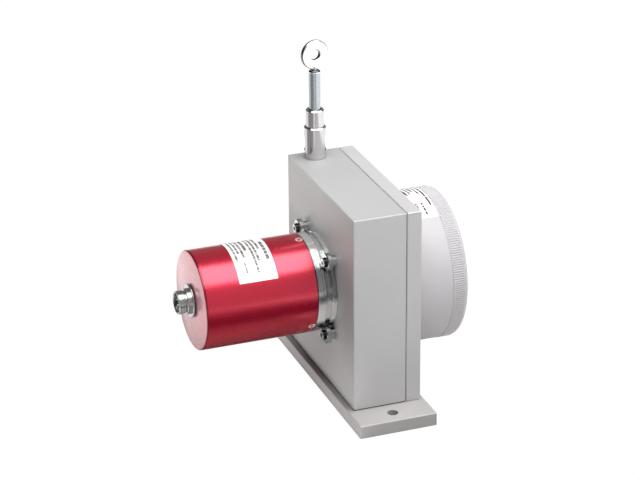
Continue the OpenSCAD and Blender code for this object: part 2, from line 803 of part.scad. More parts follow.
module board_chips() {
    color("#232428") for (place = [[20, 13, 7], [140, 13, 5], [245, 14, 6]])
        at_clock(board_x - board_t - 1.2, place[0]) translate([place[1] - place[2] / 2, -place[2] / 2, 0])
            cube([place[2], place[2], 1.2]);
}

module at_pins(x) {
    for (i = [0:pin_count - 1]) at_clock(x, i * 360 / pin_count) translate([pin_r, 0, 0]) children();
}

module signal_leads() {
    start_x = insert_x + insert_l + pin_tail;
    color("#b8b4a8") at_pins(start_x) cylinder(d = pin_d - 0.1, h = board_x - board_t - start_x);
}

// ---- Connector ----

module connector_shell() {
    back = connector_l + casing_end_t + nut_t + 1;
    flange_z = connector_l - seal_t - washer_t;
    collar_z = flange_z - collar_t;
    r = sleeve_d / 2;
    color("#b5b8ba") on_axis(tip_x) difference() {
        turned([[0, 0], [r - 0.5, 0], [r, 0.5], [r, collar_z - thread_relief], [r - 0.6, collar_z - thread_relief],
            [r - 0.6, collar_z], [collar_d / 2, collar_z], [collar_d / 2, flange_z], [barrel_d / 2, flange_z],
            [barrel_d / 2, back], [0, back]]);
        translate([0, 0, -eps]) cylinder(d = socket_d, h = back + 2 * eps);
    }
}

module connector_washer() {
    color("#d5d8da") on_axis(end_x - seal_t - washer_t)
        tube(washer_d / 2, barrel_d / 2 + seat_fit, washer_t);
}

module connector_seal() {
    color("#1a1a1c") on_axis(end_x - seal_t) tube(washer_d / 2 - 0.8, barrel_d / 2 + seat_fit, seal_t);
}

module connector_nut() {
    color("#b5b8ba") on_axis(end_x + casing_end_t) difference() {
        cylinder(r = nut_af / sqrt(3), h = nut_t, $fn = 6);
        translate([0, 0, -eps]) cylinder(r = barrel_d / 2 + seat_fit, h = nut_t + 2 * eps);
    }
}

module connector_insert() {
    color("#1c1d20") difference() {
        on_axis(insert_x) cylinder(r = socket_d / 2 - seat_fit, h = insert_l);
        at_pins(insert_x - eps) cylinder(r = pin_d / 2 + seat_fit, h = insert_l + 2 * eps);
    }
}

module connector_pins() {
    color("#cdcbc4") at_pins(insert_x - pin_out) cylinder(d = pin_d, h = pin_out + insert_l + pin_tail);
}

module encoder_label() {
    color("white") wrapped_sheet(encoder_label_x - encoder_label_w, encoder_d / 2, encoder_label_w,
        encoder_label_from, encoder_label_to);
}

// ---- Wire outlet ----

module outlet_body() {
    r = outlet_d / 2;
    color("#b9b8ba") at_outlet(0) difference() {
        turned([[0, -outlet_thread_l], [outlet_thread_d / 2 - seat_fit, -outlet_thread_l],
            [outlet_thread_d / 2 - seat_fit, 0], [r, 0], [r, outlet_h - 0.5], [r - 0.5, outlet_h], [0, outlet_h]]);
        for (side = [0, 180]) rotate([0, 0, side + waist_turn]) translate([waist_flat / 2, -outlet_d, waist_z])
            cube([outlet_d, 2 * outlet_d, waist_h]);
        translate([0, 0, -outlet_thread_l - eps]) cylinder(d = guide_d, h = outlet_thread_l + outlet_h);
        translate([0, 0, outlet_h - bush_tail - eps / 2]) cylinder(d = outlet_thread_d, h = bush_tail + eps);
        translate([0, 0, guide_screw_z]) rotate([-90, 0, 0]) cylinder(d = m3[0], h = outlet_d);
    }
}

module outlet_set_screw() {
    color("#3a3a3c") at_outlet(guide_screw_z) rotate([-90, 0, 0]) translate([0, 0, guide_d / 2])
        grub_screw(m3[0], outlet_d / 2 - guide_d / 2 - 0.6);
}

module wire_guide() {
    color("#e6e2d8") at_outlet(-outlet_thread_l)
        tube(guide_d / 2 - seat_fit, wire_hole_r, outlet_thread_l + guide_top);
}

module felt_wiper() {
    color("#6f6a62") at_outlet(outlet_h - bush_tail - eps / 2 - wiper_t)
        tube(guide_d / 2 - seat_fit, wire_hole_r, wiper_t);
}

module outlet_bush() {
    r = bush_d / 2;
    color("#c3c3c5") at_outlet(outlet_h) difference() {
        turned([[0, -bush_tail], [outlet_thread_d / 2 - seat_fit, -bush_tail], [outlet_thread_d / 2 - seat_fit, 0],
            [r, 0], [r, bush_h - 0.6], [r - 0.6, bush_h], [0, bush_h]]);
        translate([0, 0, -bush_tail - eps]) cylinder(r = wire_hole_r + 0.2, h = bush_tail + bush_h);
        translate([0, 0, bush_h - rod_sink - buffer_t])
            cylinder(r = rod_d / 2 + free_gap, h = rod_sink + buffer_t + eps);
    }
}

module stop_buffer() {
    color("#2a2a2a") at_outlet(buffer_z) tube(rod_d / 2 + free_gap - seat_fit, wire_hole_r, buffer_t);
}

// ---- Wire's end ----

module wire_lead() {
    color("#8c9196") translate([wire_x, outlet_y, axis_z]) cylinder(d = wire_d, h = top_z + rod_z - axis_z, $fn = 24);
}

module end_rod() {
    r = rod_d / 2;
    color("#8e9499") at_outlet(0) difference() {
        turned([[0, rod_z], [r - 0.4, rod_z], [r, rod_z + 0.4], [r, rod_top - 0.7], [r - 0.7, rod_top], [0, rod_top]]);
        translate([0, 0, rod_z - eps]) cylinder(r = ferrule_d / 2 + seat_fit, h = ferrule_l + eps);
        translate([0, 0, rod_top - shank_l]) cylinder(r = shank_d / 2 + run_fit, h = shank_l + eps);
    }
}

module wire_ferrule() { color("#c2a15a") at_outlet(rod_z) cylinder(d = ferrule_d, h = ferrule_l); }

// Flat ring on a round shank that turns in the rod
module eye_ring() {
    r = eye_d / 2;
    h = eye_t / 2;
    c = 0.6;
    shank_z = rod_top - shank_l + free_gap;
    color("#c4c7ca") at_outlet(0) rotate([0, 0, eye_turn]) difference() {
        union() {
            translate([0, 0, eye_z]) rotate([90, 0, 0])
                turned([[0, -h], [r - c, -h], [r, c - h], [r, h - c], [r - c, h], [0, h]]);
            translate([0, 0, shank_z]) cylinder(d = shank_d, h = eye_z - eye_hole_d / 2 - 1.5 - shank_z);
        }
        translate([0, 0, eye_z]) rotate([90, 0, 0]) cylinder(d = eye_hole_d, h = 2 * eye_d, center = true);
    }
}

base_plate();
base_screws();
drum_housing();
plate_gasket();
rear_plate();
plate_screws();
spring_cover();
cover_pillars();
cover_screws();
cover_label();
spring_cassette();
power_spring();
spring_arbor();
drum();
drum_shaft();
drum_set_screws();
wire_winding();
drum_bearing_outer_rings();
drum_bearing_balls();
drum_bearing_inner_rings();
encoder_flange();
encoder_casing();
casing_screws();
servo_clamps();
clamp_screws();
encoder_shaft();
shaft_set_screws();
bearing_spacer();
encoder_bearing_outer_rings();
encoder_bearing_balls();
encoder_bearing_inner_rings();
disc_hub();
code_disc();
read_head();
circuit_board();
board_pillars();
board_screws();
board_chips();
signal_leads();
connector_shell();
connector_washer();
connector_seal();
connector_nut();
connector_insert();
connector_pins();
encoder_label();
outlet_body();
outlet_bush();
outlet_set_screw();
wire_guide();
felt_wiper();
stop_buffer();
wire_lead();
end_rod();
wire_ferrule();
eye_ring();
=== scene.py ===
"""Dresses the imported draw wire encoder: its machined and moulded pieces, finishes, light and camera.

Frame: metres, +Z along the drawn wire, X along the drum shaft with the encoder at -X, the outlet at +Y.
Clock angles go round the drum shaft from +Z towards -Y, in degrees.
"""

import json
import math

import bmesh
import bpy
from mathutils import Matrix, Vector


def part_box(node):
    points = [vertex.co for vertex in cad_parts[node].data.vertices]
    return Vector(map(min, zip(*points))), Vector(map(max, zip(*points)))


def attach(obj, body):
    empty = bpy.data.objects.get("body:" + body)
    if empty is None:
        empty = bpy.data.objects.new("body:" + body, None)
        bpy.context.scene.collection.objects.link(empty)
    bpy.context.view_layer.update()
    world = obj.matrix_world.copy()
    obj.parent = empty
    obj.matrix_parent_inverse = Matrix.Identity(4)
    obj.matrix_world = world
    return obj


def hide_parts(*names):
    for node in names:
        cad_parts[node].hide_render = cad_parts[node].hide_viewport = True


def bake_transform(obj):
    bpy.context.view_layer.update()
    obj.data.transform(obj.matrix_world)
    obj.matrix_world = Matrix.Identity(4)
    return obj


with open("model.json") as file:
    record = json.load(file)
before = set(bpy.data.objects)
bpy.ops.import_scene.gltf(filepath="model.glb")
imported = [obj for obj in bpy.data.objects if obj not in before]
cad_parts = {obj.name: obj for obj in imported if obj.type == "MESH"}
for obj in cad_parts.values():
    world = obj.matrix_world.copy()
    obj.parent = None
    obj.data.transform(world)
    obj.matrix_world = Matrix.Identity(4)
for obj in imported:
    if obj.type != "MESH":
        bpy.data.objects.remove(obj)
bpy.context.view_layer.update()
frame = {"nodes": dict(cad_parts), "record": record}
scene = bpy.context.scene

MM = 0.001

# ---- Places read from the frame ----

housing_low, housing_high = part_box("drum_housing")
casing_low, casing_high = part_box("encoder_casing")
outlet_low, outlet_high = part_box("outlet_body")
rod_low, rod_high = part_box("end_rod")
eye_low, eye_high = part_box("eye_ring")
base_low, base_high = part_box("base_plate")
wire_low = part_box("wire_lead")[0]

shaft_z = (casing_low[2] + casing_high[2]) / 2
front_x = housing_low[0]
back_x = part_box("rear_plate")[1][0]
top_z = housing_high[2]
base_top = base_high[2]
casing_x = casing_high[0]
end_x = casing_low[0]
tip_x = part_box("connector_shell")[0][0]
cover_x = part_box("spring_cover")[1][0]
outlet_x = (outlet_low[0] + outlet_high[0]) / 2
outlet_y = (outlet_low[1] + outlet_high[1]) / 2

# ---- Small mesh helpers ----


def on_shaft(x, clock=0.0):
    """Local Z runs along +X on the drum shaft, and local X points outwards at the clock angle."""
    turn = Matrix.Rotation(math.radians(clock), 4, "X")
    lay = Matrix.Rotation(math.pi / 2, 4, "Y") @ Matrix.Rotation(math.pi, 4, "Z")
    return Matrix.Translation((x, 0, shaft_z)) @ turn @ lay


def outwards(x, clock, radius):
    """Local Z points away from the drum shaft at a clock angle, from that radius."""
    turn = Matrix.Rotation(math.radians(clock), 4, "X")
    return Matrix.Translation((x, 0, shaft_z)) @ turn @ Matrix.Translation((0, 0, radius))


def beside_shaft(x, clock, radius, facing):
    """Local Z runs along +X (facing 1) or -X (facing -1), off the shaft by the radius."""
    flip = Matrix.Rotation(0 if facing > 0 else math.pi, 4, "X")
    return on_shaft(x, clock) @ Matrix.Translation((radius, 0, 0)) @ flip


def at_outlet(height=0.0):
    """Local Z runs up the wire, from a height above the housing's top."""
    return Matrix.Translation((outlet_x, outlet_y, top_z + height))


def clean(bm):
    """Merges doubles and turns every face outwards."""
    bmesh.ops.remove_doubles(bm, verts=bm.verts, dist=1e-7)
    bmesh.ops.recalc_face_normals(bm, faces=bm.faces)
    return bm


def turned(outline, steps=128):
    """A solid of revolution round local Z from (radius, height) points in millimetres.

    The outline is closed by itself unless it starts and ends on the axis.
    """
    bm = bmesh.new()
    ring = [bm.verts.new((r * MM, 0, h * MM)) for r, h in outline]
    on_axis = outline[0][0] == 0 and outline[-1][0] == 0
    followers = ring[1:] if on_axis else ring[1:] + ring[:1]
    edges = [bm.edges.new(pair) for pair in zip(ring, followers)]
    bmesh.ops.spin(
        bm, geom=ring + edges, cent=(0, 0, 0), axis=(0, 0, 1), angle=2 * math.pi, steps=steps, use_merge=True
    )
    return clean(bm)


def soften(bm, width, segments=2, over=35.0):
    """Rounds every edge that turns by more than an angle."""
    limit = math.radians(over)
    sharp = [e for e in bm.edges if e.is_manifold and e.calc_face_angle(0.0) > limit]
    bmesh.ops.bevel(
        bm, geom=sharp, offset=width * MM, offset_type="OFFSET", segments=segments, profile=0.5,
        affect="EDGES", clamp_overlap=True, material=-1,
    )
    return bm


def prism(radius, height, sides=6, base=0.0):
    """An upright prism with its underside at base, all in millimetres."""
    bm = bmesh.new()
    bmesh.ops.create_cone(
        bm, cap_ends=True, segments=sides, radius1=radius * MM, radius2=radius * MM, depth=height * MM,
        matrix=Matrix.Translation((0, 0, (base + height / 2) * MM)),
    )
    return bm


def moved(bm, place):
    """bm in another place."""
    bmesh.ops.transform(bm, matrix=place, verts=bm.verts)
    return bm


def joined(parts):
    """Several bmeshes as one, without merging them."""
    whole = bmesh.new()
    for part in parts:
        keep = bpy.data.meshes.new("joined")
        part.to_mesh(keep)
        part.free()
        whole.from_mesh(keep)
        bpy.data.meshes.remove(keep)
    return whole


def shaped(bm, tool, operation="DIFFERENCE"):
    """bm cut by, or united with, a closed tool."""
    pair = []
    for label, source in (("work", bm), ("tool", tool)):
        mesh = bpy.data.meshes.new(label)
        source.to_mesh(mesh)
        source.free()
        obj = bpy.data.objects.new(label, mesh)
        scene.collection.objects.link(obj)
        pair.append(obj)
    work, cutter = pair
    boolean = work.modifiers.new("boolean", "BOOLEAN")
    boolean.object = cutter
    boolean.operation = operation
    boolean.solver = "EXACT"
    bpy.context.view_layer.update()
    evaluated = work.evaluated_get(bpy.context.evaluated_depsgraph_get())
    result = bmesh.new()
    result.from_mesh(evaluated.to_mesh())
    evaluated.to_mesh_clear()
    for obj in pair:
        mesh = obj.data
        bpy.data.objects.remove(obj)
        bpy.data.meshes.remove(mesh)
    return clean(result)


def piece(name, bm, finish, body, nodes, smooth=32.0):
    """Makes the object, gives it its finish, ties it to its body and hides the CAD nodes it stands for."""
    bmesh.ops.recalc_face_normals(bm, faces=bm.faces)
    mesh = bpy.data.meshes.new(name)
    bm.to_mesh(mesh)
    bm.free()
    mesh.shade_smooth()
    mesh.set_sharp_from_angle(angle=math.radians(smooth))
    mesh.materials.append(finish)
    obj = bpy.data.objects.new(name, mesh)
    scene.collection.objects.link(obj)
    if body:
        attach(obj, body)
    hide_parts(*nodes)
    return obj


# ---- Small node helpers ----


def put(tree, kind, values=None, **settings):
    """Adds a node; values are input sockets by name or number, linked where they are sockets."""
    made = tree.nodes.new(kind)
    for key, value in settings.items():
        setattr(made, key, value)
    for key, value in (values or {}).items():
        if isinstance(value, bpy.types.NodeSocket):
            tree.links.new(value, made.inputs[key])
        else:
            made.inputs[key].default_value = value
    return made


def calc(tree, operation, a, b=0.0):
    """One Math node's output."""
    return put(tree, "ShaderNodeMath", {0: a, 1: b}, operation=operation).outputs[0]


def ramp(tree, value, low, high, out_low=0.0, out_high=1.0):
    """A value mapped from one range to another, clamped."""
    made = put(
        tree, "ShaderNodeMapRange",
        {"Value": value, "From Min": low, "From Max": high, "To Min": out_low, "To Max": out_high},
    )
    return made.outputs["Result"]


def blend_colours(tree, factor, first, second):
    """A mix of two colours."""
    made = put(tree, "ShaderNodeMix", data_type="RGBA")
    for socket, value in ((made.inputs[0], factor), (made.inputs[6], first), (made.inputs[7], second)):
        if isinstance(value, bpy.types.NodeSocket):
            tree.links.new(value, socket)
        else:
            socket.default_value = value if isinstance(value, float) else (*value, 1.0)[:4]
    return made.outputs[2]


def group(name, inputs, outputs):
    """An empty node group with named float, vector or colour sockets."""
    tree = bpy.data.node_groups.new(name, "ShaderNodeTree")
    for label, kind, default in inputs:
        socket = tree.interface.new_socket(name=label, in_out="INPUT", socket_type=kind)
        if default is not None:
            socket.default_value = default
    for label, kind in outputs:
        tree.interface.new_socket(name=label, in_out="OUTPUT", socket_type=kind)
    return tree, put(tree, "NodeGroupInput"), put(tree, "NodeGroupOutput")


FLOAT = "NodeSocketFloat"
VECTOR = "NodeSocketVector"

# Fine rings left by a lathe: a pattern of radius and height round local Z
rings, given, result = group(
    "lathe_rings", [("Vector", VECTOR, None), ("Rings", FLOAT, 3000.0)], [("Value", FLOAT)]
)
parts = put(rings, "ShaderNodeSeparateXYZ", {0: given.outputs["Vector"]})
squares = calc(
    rings, "ADD", calc(rings, "MULTIPLY", parts.outputs[0], parts.outputs[0]),
    calc(rings, "MULTIPLY", parts.outputs[1], parts.outputs[1]),
)
ring_at = put(
    rings, "ShaderNodeCombineXYZ",
    {
        0: calc(rings, "MULTIPLY", calc(rings, "SQRT", squares), given.outputs["Rings"]),
        1: calc(rings, "MULTIPLY", parts.outputs[2], given.outputs["Rings"]),
    },
)
ring_noise = put(rings, "ShaderNodeTexNoise", {"Vector": ring_at.outputs[0], "Scale": 1.0, "Detail": 3.0})
rings.links.new(ring_noise.outputs[0], result.inputs["Value"])

# Even fine grain, from blasting, moulding or casting
grain, given, result = group(
    "fine_grain", [("Vector", VECTOR, None), ("Scale", FLOAT, 3000.0)], [("Value", FLOAT)]
)
grain_noise = put(
    grain, "ShaderNodeTexNoise",
    {"Vector": given.outputs["Vector"], "Scale": given.outputs["Scale"], "Detail": 4.0, "Roughness": 0.6},
)
grain.links.new(ramp(grain, grain_noise.outputs[0], 0.3, 0.7), result.inputs["Value"])

# Slow uneven patches, from handling and uneven treatment
patches, given, result = group(
    "slow_patches", [("Vector", VECTOR, None), ("Scale", FLOAT, 30.0)], [("Value", FLOAT)]
)
patch_noise = put(
    patches, "ShaderNodeTexNoise",
    {"Vector": given.outputs["Vector"], "Scale": given.outputs["Scale"], "Detail": 3.0, "Distortion": 0.4},
)
patches.links.new(ramp(patches, patch_noise.outputs[0], 0.35, 0.65), result.inputs["Value"])

# Bevels and corners of a machined block: where the surface faces along none of the three axes. This mask lays
# painted shade on them
bevel_shade, given, result = group("shaded_bevels", [("Normal", VECTOR, None)], [("Mask", FLOAT)])
facing = put(
    bevel_shade, "ShaderNodeSeparateXYZ",
    {0: put(bevel_shade, "ShaderNodeVectorMath", {0: given.outputs["Normal"]}, operation="ABSOLUTE").outputs[0]},
)
wider = calc(bevel_shade, "MAXIMUM", facing.outputs[0], facing.outputs[1])
widest = calc(bevel_shade, "MAXIMUM", wider, facing.outputs[2])
bevel_shade.links.new(ramp(bevel_shade, widest, 0.97, 0.8), result.inputs["Mask"])

# One row of printed dashes on a label that is wrapped round the shaft
dashes, given, result = group(
    "dash_row",
    [
        ("Along", FLOAT, 0.0), ("Around", FLOAT, 0.0), ("Row", FLOAT, 0.0), ("Half", FLOAT, 0.0003),
        ("From", FLOAT, 0.0), ("To", FLOAT, 0.5), ("Words", FLOAT, 40.0), ("Cover", FLOAT, 0.45),
    ],
    [("Mask", FLOAT)],
)
row_gap = calc(dashes, "ABSOLUTE", calc(dashes, "SUBTRACT", given.outputs["Along"], given.outputs["Row"]))
in_row = calc(dashes, "LESS_THAN", row_gap, given.outputs["Half"])
after = calc(dashes, "GREATER_THAN", given.outputs["Around"], given.outputs["From"])
before = calc(dashes, "LESS_THAN", given.outputs["Around"], given.outputs["To"])
word_at = calc(
    dashes, "ADD", calc(dashes, "MULTIPLY", given.outputs["Around"], given.outputs["Words"]),
    calc(dashes, "MULTIPLY", given.outputs["Row"], 9000.0),
)
word_noise = put(
    dashes, "ShaderNodeTexNoise", {"W": word_at, "Scale": 1.0, "Detail": 0.0}, noise_dimensions="1D"
)
inked = calc(dashes, "GREATER_THAN", word_noise.outputs[0], given.outputs["Cover"])
word = calc(dashes, "MULTIPLY", in_row, inked)
between = calc(dashes, "MULTIPLY", after, before)
dashes.links.new(calc(dashes, "MULTIPLY", word, between), result.inputs["Mask"])


def use(tree, shared, values):
    """Places a shared group in a material and returns its first output."""
    made = put(tree, "ShaderNodeGroup", node_tree=shared)
    for key, value in values.items():
        if isinstance(value, bpy.types.NodeSocket):
            tree.links.new(value, made.inputs[key])
        else:
            made.inputs[key].default_value = value
    return made.outputs[0]


def blank(name, **sockets):
    """A material with its shader's plain sockets set; returns material, tree and shader."""
    material = bpy.data.materials.new(name)
    material.use_nodes = True
    tree = material.node_tree
    shader = tree.nodes["Principled BSDF"]
    for key, value in sockets.items():
        shader.inputs[key.replace("_", " ")].default_value = value
    return material, tree, shader


def lathe_vector(tree, centre, axis):
    """Object coordinates moved to a turned piece's centre, with its axis laid along Z."""
    spot = put(tree, "ShaderNodeTexCoord").outputs["Object"]
    shift = put(tree, "ShaderNodeMapping", {0: spot, 1: tuple(-c for c in centre)}).outputs[0]
    if axis == "Z":
        return shift
    return put(tree, "ShaderNodeMapping", {0: shift, 2: (0.0, math.pi / 2, 0.0)}).outputs[0]


def bumped(tree, shader, height, strength, distance):
    """Feeds a height into the shader's normal."""
    made = put(tree, "ShaderNodeBump", {"Height": height, "Strength": strength, "Distance": distance})
    tree.links.new(made.outputs[0], shader.inputs["Normal"])


GRAIN_DEPTH = 0.00004
MOULD_GRAIN_SCALE = 1800.0
PATCH_SCALE = 25.0
TURNED_PATCH_SCALE = 40.0
RING_DEPTH = 0.00003


def metal(name, light, dark, rough, metallic=1.0, grain_scale=2500.0, bump=0.2):
    """A metal with fine grain and slow patches in its colour and roughness."""
    material, tree, shader = blank(name, Metallic=metallic)
    spot = put(tree, "ShaderNodeTexCoord").outputs["Object"]
    fine = use(tree, grain, {"Vector": spot, "Scale": grain_scale})
    slow = use(tree, patches, {"Vector": spot, "Scale": PATCH_SCALE})
    mixed = calc(tree, "ADD", calc(tree, "MULTIPLY", fine, 0.5), calc(tree, "MULTIPLY", slow, 0.5))
    tree.links.new(blend_colours(tree, mixed, dark, light), shader.inputs["Base Color"])
    tree.links.new(ramp(tree, mixed, 0.0, 1.0, rough[0], rough[1]), shader.inputs["Roughness"])
    bumped(tree, shader, fine, bump, GRAIN_DEPTH)
    return material


def lathed(
    name, light, dark, rough, centre, axis="X", ring_count=2600.0, bump=0.25, depth=RING_DEPTH, **sockets
):
    """A turned metal: rings round its axis, over slow patches."""
    sockets.setdefault("Metallic", 1.0)
    material, tree, shader = blank(name, **sockets)
    across = lathe_vector(tree, centre, axis)
    lines = use(tree, rings, {"Vector": across, "Rings": ring_count})
    slow = use(tree, patches, {"Vector": across, "Scale": TURNED_PATCH_SCALE})
    mixed = calc(tree, "ADD", calc(tree, "MULTIPLY", lines, 0.65), calc(tree, "MULTIPLY", slow, 0.35))
    tree.links.new(blend_colours(tree, mixed, dark, light), shader.inputs["Base Color"])
    tree.links.new(ramp(tree, mixed, 0.2, 0.8, rough[0], rough[1]), shader.inputs["Roughness"])
    bumped(tree, shader, lines, bump, depth)
    return material


def moulded(name, light, dark, rough, bump=0.15):
    """A plastic, rubber or felt with a fine grain."""
    return metal(name, light, dark, rough, metallic=0.0, grain_scale=MOULD_GRAIN_SCALE, bump=bump)


BLAST_METALLIC = 0.4
BLAST_GRAIN_SCALE = 1600.0
BLAST_PATCH_SCALE = 14.0
BLAST_ROUGH = (0.52, 0.64)
BEVEL_ROUGHER = 0.06
BLAST_BUMP = 0.35
BLAST_DEPTH = 0.00006


def blasted(name, light, dark, edge):
    """Bead-blasted aluminium: soft grain, and bevels in a darker edge tone, painted shade that tones down the
    highlight they catch.
    """
    material, tree, shader = blank(name, Metallic=BLAST_METALLIC)
    spot = put(tree, "ShaderNodeTexCoord").outputs["Object"]
    fine = use(tree, grain, {"Vector": spot, "Scale": BLAST_GRAIN_SCALE})
    slow = use(tree, patches, {"Vector": spot, "Scale": BLAST_PATCH_SCALE})
    mixed = calc(tree, "ADD", calc(tree, "MULTIPLY", fine, 0.55), calc(tree, "MULTIPLY", slow, 0.45))
    face = blend_colours(tree, mixed, dark, light)
    # Painted shade: the bevels take the darker edge tone
    bevel = use(tree, bevel_shade, {"Normal": put(tree, "ShaderNodeNewGeometry").outputs["True Normal"]})
    tree.links.new(blend_colours(tree, bevel, face, edge), shader.inputs["Base Color"])
    face_rough = ramp(tree, mixed, 0.0, 1.0, *BLAST_ROUGH)
    rough = calc(tree, "ADD", face_rough, calc(tree, "MULTIPLY", bevel, BEVEL_ROUGHER))
    tree.links.new(rough, shader.inputs["Roughness"])
    bumped(tree, shader, fine, BLAST_BUMP, BLAST_DEPTH)
    return material


def tinted(material, mask, colour, metallic=None):
    """Lays another colour, and a metallic value, over a finish where mask(tree) gives 1."""
    tree = material.node_tree
    shader = tree.nodes["Principled BSDF"]
    base = shader.inputs["Base Color"]
    under = base.links[0].from_socket
    shown = mask(tree)
    tree.links.new(blend_colours(tree, shown, under, colour), base)
    if metallic is not None:
        value = shader.inputs["Metallic"]
        usual = value.links[0].from_socket if value.is_linked else value.default_value
        tree.links.new(ramp(tree, shown, 0.0, 1.0, usual, metallic), value)
    return material


def past(axis, low, high):
    """A mask along an object axis: 0 at low, 1 at high."""

    def mask(tree):
        spot = put(tree, "ShaderNodeTexCoord").outputs["Object"]
        return ramp(tree, put(tree, "ShaderNodeSeparateXYZ", {0: spot}).outputs[axis], low, high)

    return mask


def band(axis, low, high, soft=0.05 * MM):
    """A mask along an object axis that is 1 between low and high."""
    return all_of(past(axis, low, low + soft), past(axis, high, high - soft))


def away_from(centre, near, far, across=(1, 1, 1)):
    """A mask by distance from a point, or a line where an axis is left out: 0 at near, 1 at far."""

    def mask(tree):
        spot = put(tree, "ShaderNodeTexCoord").outputs["Object"]
        gap = put(tree, "ShaderNodeVectorMath", {0: spot, 1: centre}, operation="SUBTRACT").outputs[0]
        flat = put(tree, "ShaderNodeVectorMath", {0: gap, 1: across}, operation="MULTIPLY").outputs[0]
        length = put(tree, "ShaderNodeVectorMath", {0: flat}, operation="LENGTH").outputs["Value"]
        return ramp(tree, length, near, far)

    return mask


def all_of(*masks):
    """A mask that is 1 only where every given mask is."""

    def mask(tree):
        shown = masks[0](tree)
        for other in masks[1:]:
            shown = calc(tree, "MULTIPLY", shown, other(tree))
        return shown

    return mask


PAPER_DARKER = 0.96
PAPER_GRAIN_SCALE = 2500.0
PAPER_ROUGH = (0.38, 0.48)
INK_BUMP = 0.2
INK_DEPTH = 0.00002


def printed(name, rows, paper, ink):
    """A white film label with plain rows of dashes.

    A row is its x, its half height in millimetres, the clock angles where it starts and stops, how many
    words a radian it holds, and the noise level above which the film is inked.
    """
    material, tree, shader = blank(name, Metallic=0.0, Coat_Weight=0.15, Coat_Roughness=0.3)
    spot = put(tree, "ShaderNodeTexCoord").outputs["Object"]
    away = put(tree, "ShaderNodeSeparateXYZ", {0: spot})
    up = calc(tree, "SUBTRACT", away.outputs[2], shaft_z)
    around = calc(tree, "ARCTAN2", calc(tree, "MULTIPLY", away.outputs[1], -1.0), up)
    mask = None
    for x, half, start, stop, words, cover in rows:
        row = use(
            tree, dashes,
            {
                "Along": away.outputs[0], "Around": around, "Row": x, "Half": half * MM,
                "From": math.radians(start), "To": math.radians(stop), "Words": words, "Cover": cover,
            },
        )
        mask = row if mask is None else calc(tree, "MAXIMUM", mask, row)
    fine = use(tree, grain, {"Vector": spot, "Scale": PAPER_GRAIN_SCALE})
    shade = blend_colours(tree, fine, tuple(PAPER_DARKER * c for c in paper), paper)
    tree.links.new(blend_colours(tree, mask, shade, ink), shader.inputs["Base Color"])
    tree.links.new(ramp(tree, fine, 0.0, 1.0, *PAPER_ROUGH), shader.inputs["Roughness"])
    bumped(tree, shader, mask, INK_BUMP, INK_DEPTH)
    return material


STRANDS = 7.0
STRAND_TURN = 5200.0
# Painted shade: the grooves between the strands are darker than their crests
STRAND_GAP = (0.16, 0.17, 0.18)
STRAND_TOP = (0.6, 0.62, 0.64)
STRAND_ROUGH = (0.5, 0.28)
STRAND_BUMP = 0.6
STRAND_DEPTH = 0.0001


def stranded(name, centre):
    """A stranded wire: a helix of strands round its own axis."""
    material, tree, shader = blank(name, Metallic=1.0)
    across = put(tree, "ShaderNodeSeparateXYZ", {0: lathe_vector(tree, centre, "Z")})
    angle = calc(tree, "ARCTAN2", across.outputs[1], across.outputs[0])
    climb = calc(tree, "MULTIPLY", across.outputs[2], STRAND_TURN)
    phase = calc(tree, "ADD", calc(tree, "MULTIPLY", angle, STRANDS), climb)
    wave = ramp(tree, calc(tree, "SINE", phase), -1.0, 1.0)
    tree.links.new(blend_colours(tree, wave, STRAND_GAP, STRAND_TOP), shader.inputs["Base Color"])
    tree.links.new(ramp(tree, wave, 0.0, 1.0, *STRAND_ROUGH), shader.inputs["Roughness"])
    bumped(tree, shader, wave, STRAND_BUMP, STRAND_DEPTH)
    return material


# ---- Finishes ----

CASING_R = 29.0
CASING_SCREW_X = casing_x - 2.6 * MM
CASING_SCREWS_AT = (6, 126, 246)

FLANGE_RINGS = {"bump": 1.0, "depth": 0.00012}

shaft_centre = (0.0, 0.0, shaft_z)
outlet_centre = (outlet_x, outlet_y, 0.0)

BLOCK_TONES = ((0.51, 0.503, 0.503), (0.45, 0.445, 0.445), (0.45, 0.45, 0.45))
ENCODER_ROWS = [
    (-0.0567, 1.00, -4, 30, 30.0, 0.24),
    (-0.0597, 0.80, -21, 12, 50.0, 0.32),
    (-0.0622, 0.76, -21, 30, 56.0, 0.34),
    (-0.0644, 0.70, -21, 46, 50.0, 0.36),
    (-0.0674, 0.90, -18, 12, 40.0, 0.30),
    (-0.0700, 0.74, -21, 24, 56.0, 0.36),
    (-0.0723, 0.70, -21, 16, 50.0, 0.36),
    (-0.0710, 0.45, 30, 44, 30.0, 0.20),
    (-0.0746, 0.70, -21, 28, 50.0, 0.38),
]
COVER_ROWS = [
    (back_x + 0.0222, 0.62, -30, 18, 50.0, 0.26),
    (back_x + 0.0198, 0.62, -30, 2, 56.0, 0.32),
    (back_x + 0.0174, 0.72, -30, -4, 50.0, 0.30),
    (back_x + 0.0174, 0.62, 14, 27, 44.0, 0.30),
    (back_x + 0.0150, 0.62, -30, 0, 56.0, 0.32),
    (back_x + 0.0126, 0.72, -30, 2, 44.0, 0.32),
    (back_x + 0.0138, 0.62, 14, 22, 50.0, 0.34),
    (back_x + 0.0102, 0.62, -30, 4, 60.0, 0.34),
    (back_x + 0.0078, 0.62, -30, 2, 60.0, 0.34),
    (back_x + 0.0054, 0.62, -30, 0, 60.0, 0.34),
]

